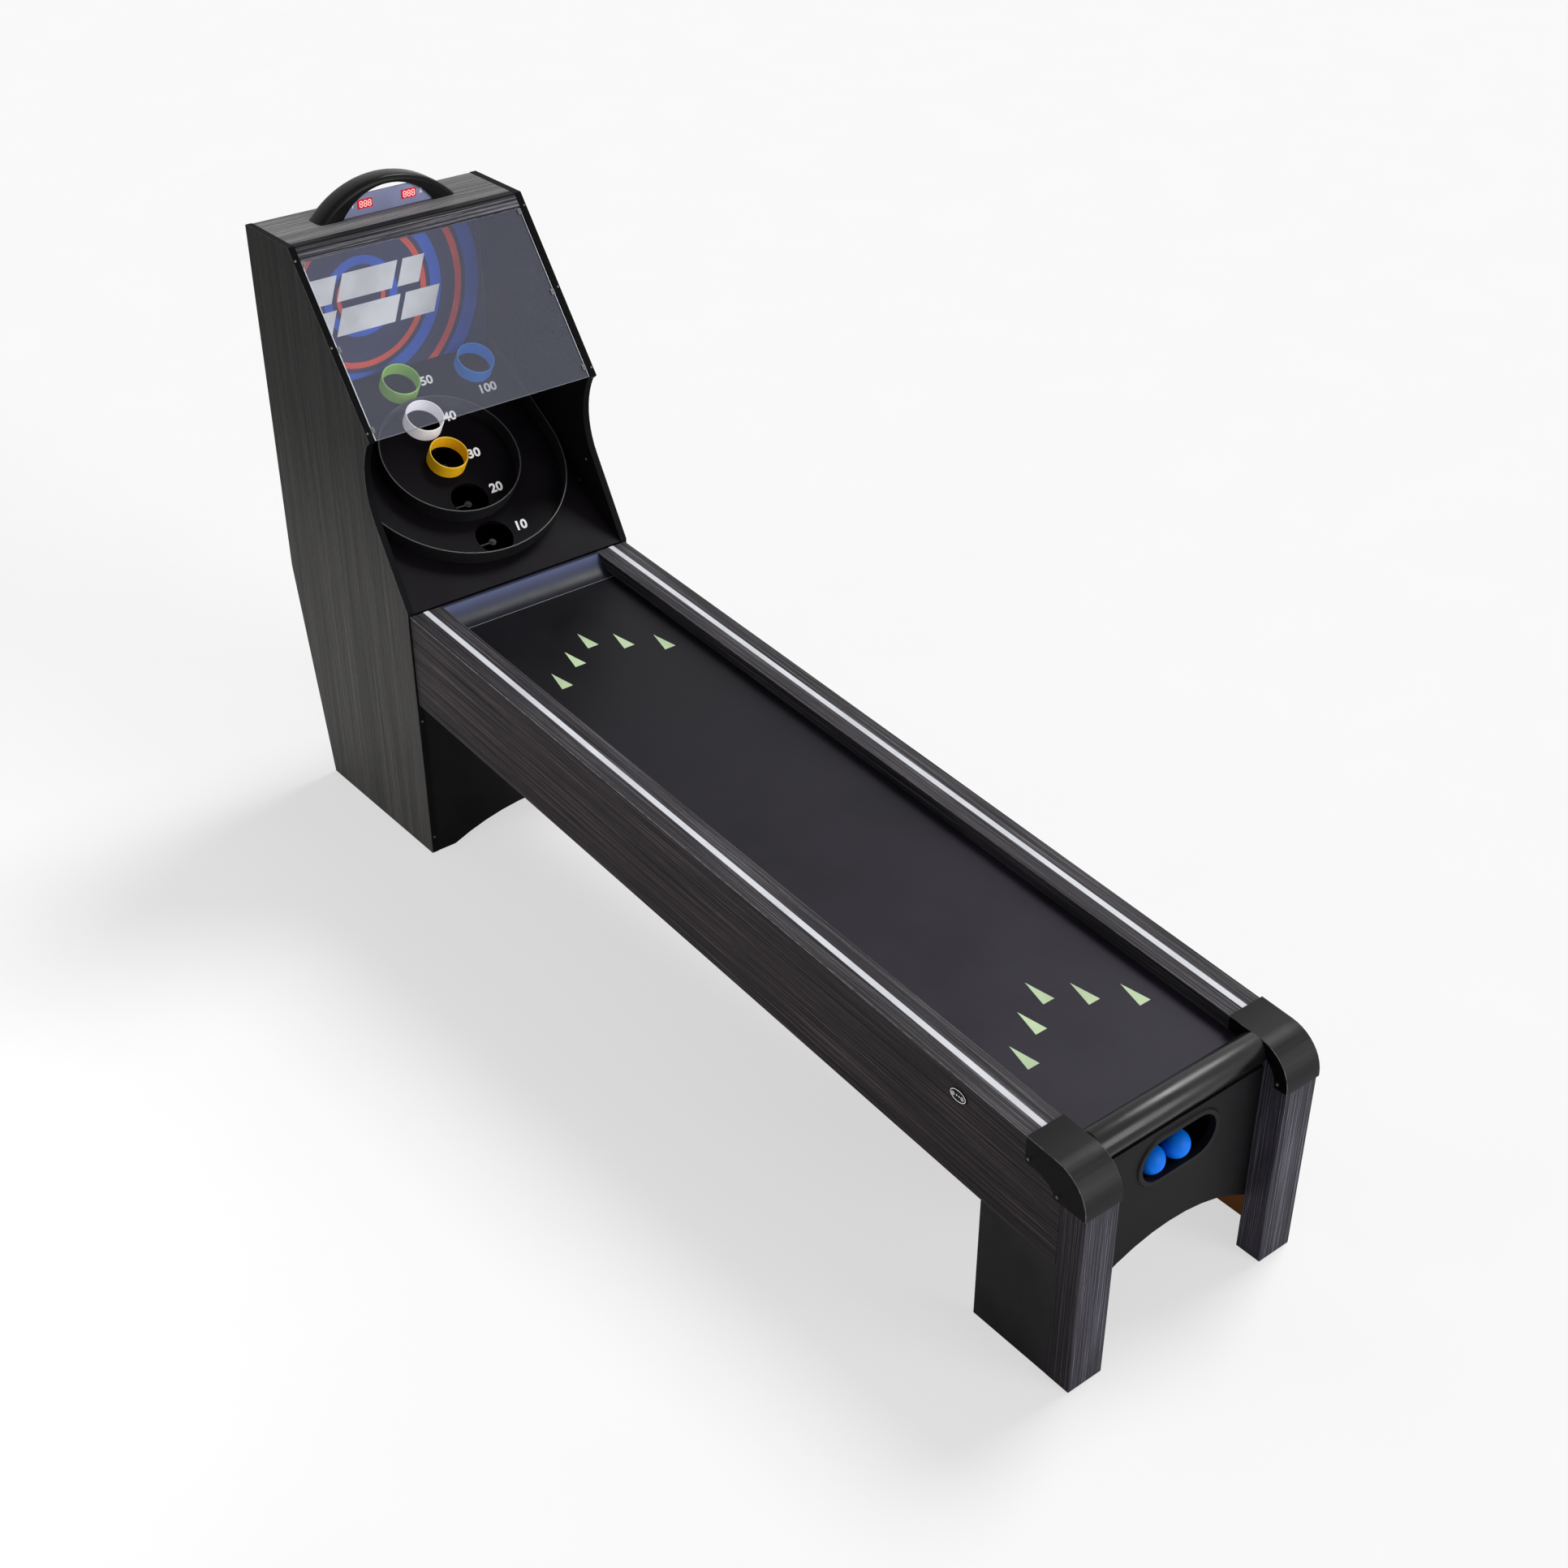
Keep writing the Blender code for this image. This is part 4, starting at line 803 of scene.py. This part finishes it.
# Balls with a faint moulding seam
SEAM_AXIS = Vector((0.3, 0.2, 0.93)).normalized()
SEAM_HALF, SEAM_DEPTH = 0.0006, 0.00012
for name in ("ball_1", "ball_2"):
    low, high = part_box(name)
    radius = (high.x - low.x) / 2
    bm = bmesh.new()
    bmesh.ops.create_icosphere(bm, subdivisions=5, radius=radius)
    for v in bm.verts:
        if abs(v.co.normalized().dot(SEAM_AXIS) * radius) < SEAM_HALF:
            v.co *= 1 - SEAM_DEPTH / radius
    made = piece(name + "_moulded", bm, ball_blue, name, math.radians(60),
                 Matrix.Translation((low + high) / 2))
    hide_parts(name)


# ---------------------------------------------------------------- small fasteners
def lathed(profile, steps=24):
    """Solid of revolution about Z; profile is (radius, height) from axis to axis."""
    bm = bmesh.new()
    rings = []
    for radius, height in profile:
        if radius == 0:
            rings.append([bm.verts.new((0, 0, height))])
        else:
            rings.append([bm.verts.new((radius * math.cos(2 * math.pi * i / steps),
                                        radius * math.sin(2 * math.pi * i / steps), height))
                          for i in range(steps)])
    for here, after in zip(rings, rings[1:]):
        for i in range(steps):
            j = (i + 1) % steps
            if len(here) == 1:
                bm.faces.new((here[0], after[i], after[j]))
            elif len(after) == 1:
                bm.faces.new((here[i], here[j], after[0]))
            else:
                bm.faces.new((here[i], here[j], after[j], after[i]))
    return bm


screw_black = moulded("black screw", (0.16, 0.16, 0.17), 0.30, 0.4)
CAP_SCREW, EDGE_SCREW, INNER_SCREW, CLIP_SCREW = 0.0032, 0.0026, 0.0030, 0.0022
FIRST_TURN = 0.4


def screw_mesh(radius):
    """Pan head with a cross recess."""
    bm = lathed(((0, 0), (radius, 0), (radius, radius * 0.22), (radius * 0.86, radius * 0.42),
                 (radius * 0.55, radius * 0.54), (0, radius * 0.58)))
    bmesh.ops.recalc_face_normals(bm, faces=bm.faces)
    head = bpy.data.meshes.new("screw_head")
    bm.to_mesh(head)
    bm.free()
    bm = bmesh.new()
    arm, half = radius * 0.62, radius * 0.13
    cross = [(half, half), (half, arm), (-half, arm), (-half, half), (-arm, half), (-arm, -half),
             (-half, -half), (-half, -arm), (half, -arm), (half, -half), (arm, -half), (arm, half)]
    plate(bm, cross, radius, Matrix.Translation((0, 0, radius * 0.22)))
    bmesh.ops.recalc_face_normals(bm, faces=bm.faces)
    tool = bpy.data.meshes.new("screw_cross")
    bm.to_mesh(tool)
    bm.free()
    one, two = bpy.data.objects.new("screw_a", head), bpy.data.objects.new("screw_b", tool)
    for o in (one, two):
        bpy.context.scene.collection.objects.link(o)
    cut = one.modifiers.new("cross", "BOOLEAN")
    cut.object, cut.operation, cut.solver = two, "DIFFERENCE", "EXACT"
    bpy.context.view_layer.update()
    made = bpy.data.meshes.new_from_object(one.evaluated_get(
        bpy.context.evaluated_depsgraph_get()))
    for o in (one, two):
        bpy.data.objects.remove(o)
    return made


def screws(name, radius, places):
    """A group of like screws; places are (point, outward direction)."""
    head = screw_mesh(radius)
    bm = bmesh.new()
    for count, (point, outward) in enumerate(places):
        seat = Vector(outward).normalized().to_track_quat("Z", "Y").to_matrix().to_4x4()
        spot = Matrix.Translation(point) @ seat @ Matrix.Rotation(FIRST_TURN + count, 4, "Z")
        copy = head.copy()
        copy.transform(spot)
        bm.from_mesh(copy)
        bpy.data.meshes.remove(copy)
    piece(name, bm, screw_black, smooth=math.radians(40))


# Screws in the corner caps
CAP_LOW, CAP_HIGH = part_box("right_corner_cap")
CAP_FACE, CAP_INNER = CAP_HIGH.x - 0.001, CAP_LOW.x
for word, side in (("left", -1), ("right", 1)):
    screws(f"{word}_cap_screws", CAP_SCREW, [
        ((side * CAP_FACE, post_y + 0.1425, rail_top(post_y + 0.1425) - 0.047), (side, 0, 0)),
        ((side * CAP_FACE, post_y + 0.0675, 0.4395), (side, 0, 0)),
        ((side * CAP_INNER, post_y + 0.021, 0.4430), (-side, 0, 0))])

# Screws in the cabinet sides, and the clips that hold the clear shield
HOOD_TOP, HOOD_FOOT = Vector((0.0, 1.1953, 1.441)), Vector((0.0, 0.9093, 1.0675))
hood_length = (HOOD_TOP - HOOD_FOOT).length
hood_turn = Matrix.Rotation(math.atan2(HOOD_TOP.z - HOOD_FOOT.z, HOOD_TOP.y - HOOD_FOOT.y), 4, "X")
hood_out = hood_turn @ Vector((0, 0, 1))


def on_hood(x, down, lift=0.0):
    """Placement on the hood's slope: across, down from its top, and off its face."""
    point = HOOD_TOP.lerp(HOOD_FOOT, down / hood_length)
    return Matrix.Translation((x, point.y, point.z)) @ hood_turn @ Matrix.Translation((0, 0, lift))


EDGE_X = SIDE_OUT - 0.006
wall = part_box("right_cabinet_side")[0].x
for word, side in (("left", -1), ("right", 1)):
    places = [(on_hood(side * EDGE_X, down).translation, hood_out)
              for down in (0.034, 0.242, 0.448)]
    places += [((side * 0.3005, cabinet_y, z), (0, -1, 0)) for z in (0.380, 0.045)]
    screws(f"{word}_side_screws", EDGE_SCREW, places)
    screws(f"{word}_inner_screws", INNER_SCREW,
           [((side * wall, y, z), (-side, 0, 0)) for y, z in ((0.948, 0.841), (0.984, 0.771))])

SHIELD_DEPTH = 0.003
CLIP_X, CLIP_DOWN = 0.2872, (0.045, 0.249, 0.442)
CLIP_HALF_WIDTH, CLIP_HALF_LENGTH, CLIP_CORNER, CLIP_THICKNESS = 0.0036, 0.0060, 0.0010, 0.0016
bm = bmesh.new()
for side in (-1, 1):
    for down in CLIP_DOWN:
        outline = [(cx * CLIP_HALF_WIDTH + CLIP_CORNER * math.cos(t),
                    cy * CLIP_HALF_LENGTH + CLIP_CORNER * math.sin(t))
                   for cx, cy, first in ((1, 1, 0.0), (-1, 1, 0.5), (-1, -1, 1.0), (1, -1, 1.5))
                   for t in [math.pi * (first + k / 8) for k in range(5)]]
        plate(bm, outline, CLIP_THICKNESS, on_hood(side * CLIP_X, down, -SHIELD_DEPTH))
piece("shield_clips", bm, screw_black, smooth=math.radians(35))
for word, side in (("left", -1), ("right", 1)):
    screws(f"{word}_clip_screws", CLIP_SCREW,
           [(on_hood(side * CLIP_X, down, CLIP_THICKNESS - SHIELD_DEPTH).translation, hood_out)
            for down in CLIP_DOWN])

# Painted highlights along the clear shield's edges, and the light joints round the target board
shield_edge_painted_highlight = moulded("shield edge painted highlight", (0.58, 0.60, 0.66), 0.3, 0.3)
shield_foot_painted_highlight = moulded("shield foot painted highlight", (0.20, 0.21, 0.24), 0.4, 0.3)
joint_grey = moulded("joint line", (0.085, 0.085, 0.095), 0.5, 0.1)
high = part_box("clear_shield")[1]
half = high.x - 0.0015
start = (HOOD_TOP.z - high.z) / (HOOD_TOP.z - HOOD_FOOT.z) * hood_length
end = hood_length - 0.0030
bm = bmesh.new()
for side, wide in ((-1, 0.0014), (1, 0.0009)):
    plate(bm, ((-wide, 0.0), (wide, 0.0), (wide, start - end), (-wide, start - end)),
          PRINT_LIFT, on_hood(side * half, start, -SHIELD_DEPTH))
piece("shield_side_lines", bm, shield_edge_painted_highlight)
bm = bmesh.new()
plate(bm, ((-half, 0.0), (half, 0.0), (half, 0.0010), (-half, 0.0010)), PRINT_LIFT,
      on_hood(0.0, end, -SHIELD_DEPTH))
piece("shield_lower_line", bm, shield_foot_painted_highlight)

JOINT_HALF = 0.0006
bm = bmesh.new()
for side in (-1, 1):
    x = side * (wall - 0.0020)
    for first, last, place in ((0.30, 0.635, on_board(x, 0.0)),
                               (BACK_LOW, BACK_HIGH, facing_player(x, BACK_Y, 0.0))):
        plate(bm, ((-JOINT_HALF, first), (JOINT_HALF, first), (JOINT_HALF, last),
                   (-JOINT_HALF, last)), PRINT_LIFT, place)
piece("hood_joint_lines", bm, joint_grey)

# ---------------------------------------------------------------- camera, floor, light
FOCAL, SENSOR = 50.750, 36.0
CAMERA_PLACE = (-2.4418, -3.21855, 3.1501)
CAMERA_TURN = Vector((-0.94973, 0.33473, 0.62123))
camera_data = bpy.data.cameras.new("camera")
camera_data.lens, camera_data.sensor_width = FOCAL, SENSOR
camera = bpy.data.objects.new("camera", camera_data)
bpy.context.scene.collection.objects.link(camera)
world_to_camera = Matrix.Rotation(CAMERA_TURN.length, 3, CAMERA_TURN.normalized())
camera.rotation_mode = "QUATERNION"
camera.rotation_quaternion = world_to_camera.transposed().to_quaternion()
camera.location = CAMERA_PLACE
bpy.context.scene.camera = camera

# White floor, part of whose white is its own light, so that shadows stay faint
FLOOR_HALF, FLOOR_GLOW = 20.0, 0.6
bm = bmesh.new()
bmesh.ops.create_grid(bm, x_segments=8, y_segments=8, size=FLOOR_HALF)
floor_mesh = bpy.data.meshes.new("floor")
bm.to_mesh(floor_mesh)
bm.free()
floor = bpy.data.objects.new("floor", floor_mesh)
bpy.context.scene.collection.objects.link(floor)
floor_look = Look("studio floor", 0.9, 0.1)
floor_look.colour(floor_look.ramp(floor_look.noise(3.0), (0.3, (0.90, 0.90, 0.90)),
                                  (0.7, (0.92, 0.92, 0.92))))
glow = floor_look.add("ShaderNodeEmission")
direct = floor_look.add("ShaderNodeLightPath").outputs["Is Camera Ray"]
blend = floor_look.add("ShaderNodeMixShader")
floor_look.join(floor_look.calc("MULTIPLY", direct, FLOOR_GLOW), blend.inputs[0])
floor_look.join(floor_look.shader.outputs[0], blend.inputs[1])
floor_look.join(glow.outputs[0], blend.inputs[2])
surface = next(n for n in floor_look.tree.nodes if n.type == "OUTPUT_MATERIAL").inputs["Surface"]
floor_look.join(blend.outputs[0], surface)
floor_mesh.materials.append(floor_look.material)

# World: dim as light, full white where it is seen, reflected or looked through
WORLD_LIGHT, WORLD_SEEN = 0.25, 1.0
world = bpy.data.worlds.new("studio")
bpy.context.scene.world = world
world.use_nodes = True
tree = world.node_tree
tree.nodes.clear()
skies = []
for strength in (WORLD_LIGHT, WORLD_SEEN):
    sky = tree.nodes.new("ShaderNodeBackground")
    sky.inputs["Color"].default_value = (1.0, 1.0, 1.0, 1.0)
    sky.inputs["Strength"].default_value = strength
    skies.append(sky)
path = tree.nodes.new("ShaderNodeLightPath")
seen = path.outputs["Is Camera Ray"]
for word in ("Is Glossy Ray", "Is Transmission Ray"):
    most = tree.nodes.new("ShaderNodeMath")
    most.operation = "MAXIMUM"
    tree.links.new(seen, most.inputs[0])
    tree.links.new(path.outputs[word], most.inputs[1])
    seen = most.outputs[0]
mix = tree.nodes.new("ShaderNodeMixShader")
tree.links.new(seen, mix.inputs[0])
tree.links.new(skies[0].outputs[0], mix.inputs[1])
tree.links.new(skies[1].outputs[0], mix.inputs[2])
output = tree.nodes.new("ShaderNodeOutputWorld")
tree.links.new(mix.outputs[0], output.inputs["Surface"])


def lamp_object(name, data, direction):
    """Put a lamp in the scene so that it shines along a direction."""
    made = bpy.data.objects.new(name, data)
    bpy.context.scene.collection.objects.link(made)
    made.rotation_mode = "QUATERNION"
    made.rotation_quaternion = Vector(direction).to_track_quat("-Z", "Y")
    return made


def sun(name, direction, strength, angle):
    """Soft distant lamp; angle is its width in degrees."""
    data = bpy.data.lights.new(name, "SUN")
    data.energy, data.angle = strength, math.radians(angle)
    lamp_object(name, data, direction)


sun("key", (-0.60, -0.10, -0.79), 2.2, 24)
sun("front", (-0.35, 0.90, -0.26), 1.7, 36)

# Low soft panel on the left, which lights the cabinet's side and the rail's outer face
PANEL_PLACE, PANEL_TARGET = Vector((-2.6, 0.55, 0.40)), Vector((-0.31, 0.75, 0.30))
panel = bpy.data.lights.new("left_panel", "AREA")
panel.shape, panel.size, panel.size_y, panel.energy = "RECTANGLE", 1.6, 0.7, 16.0
panel_lamp = lamp_object("left_panel", panel, PANEL_TARGET - PANEL_PLACE)
panel_lamp.location = PANEL_PLACE
panel_lamp.visible_camera = False

bpy.context.scene.view_settings.view_transform = "Standard"
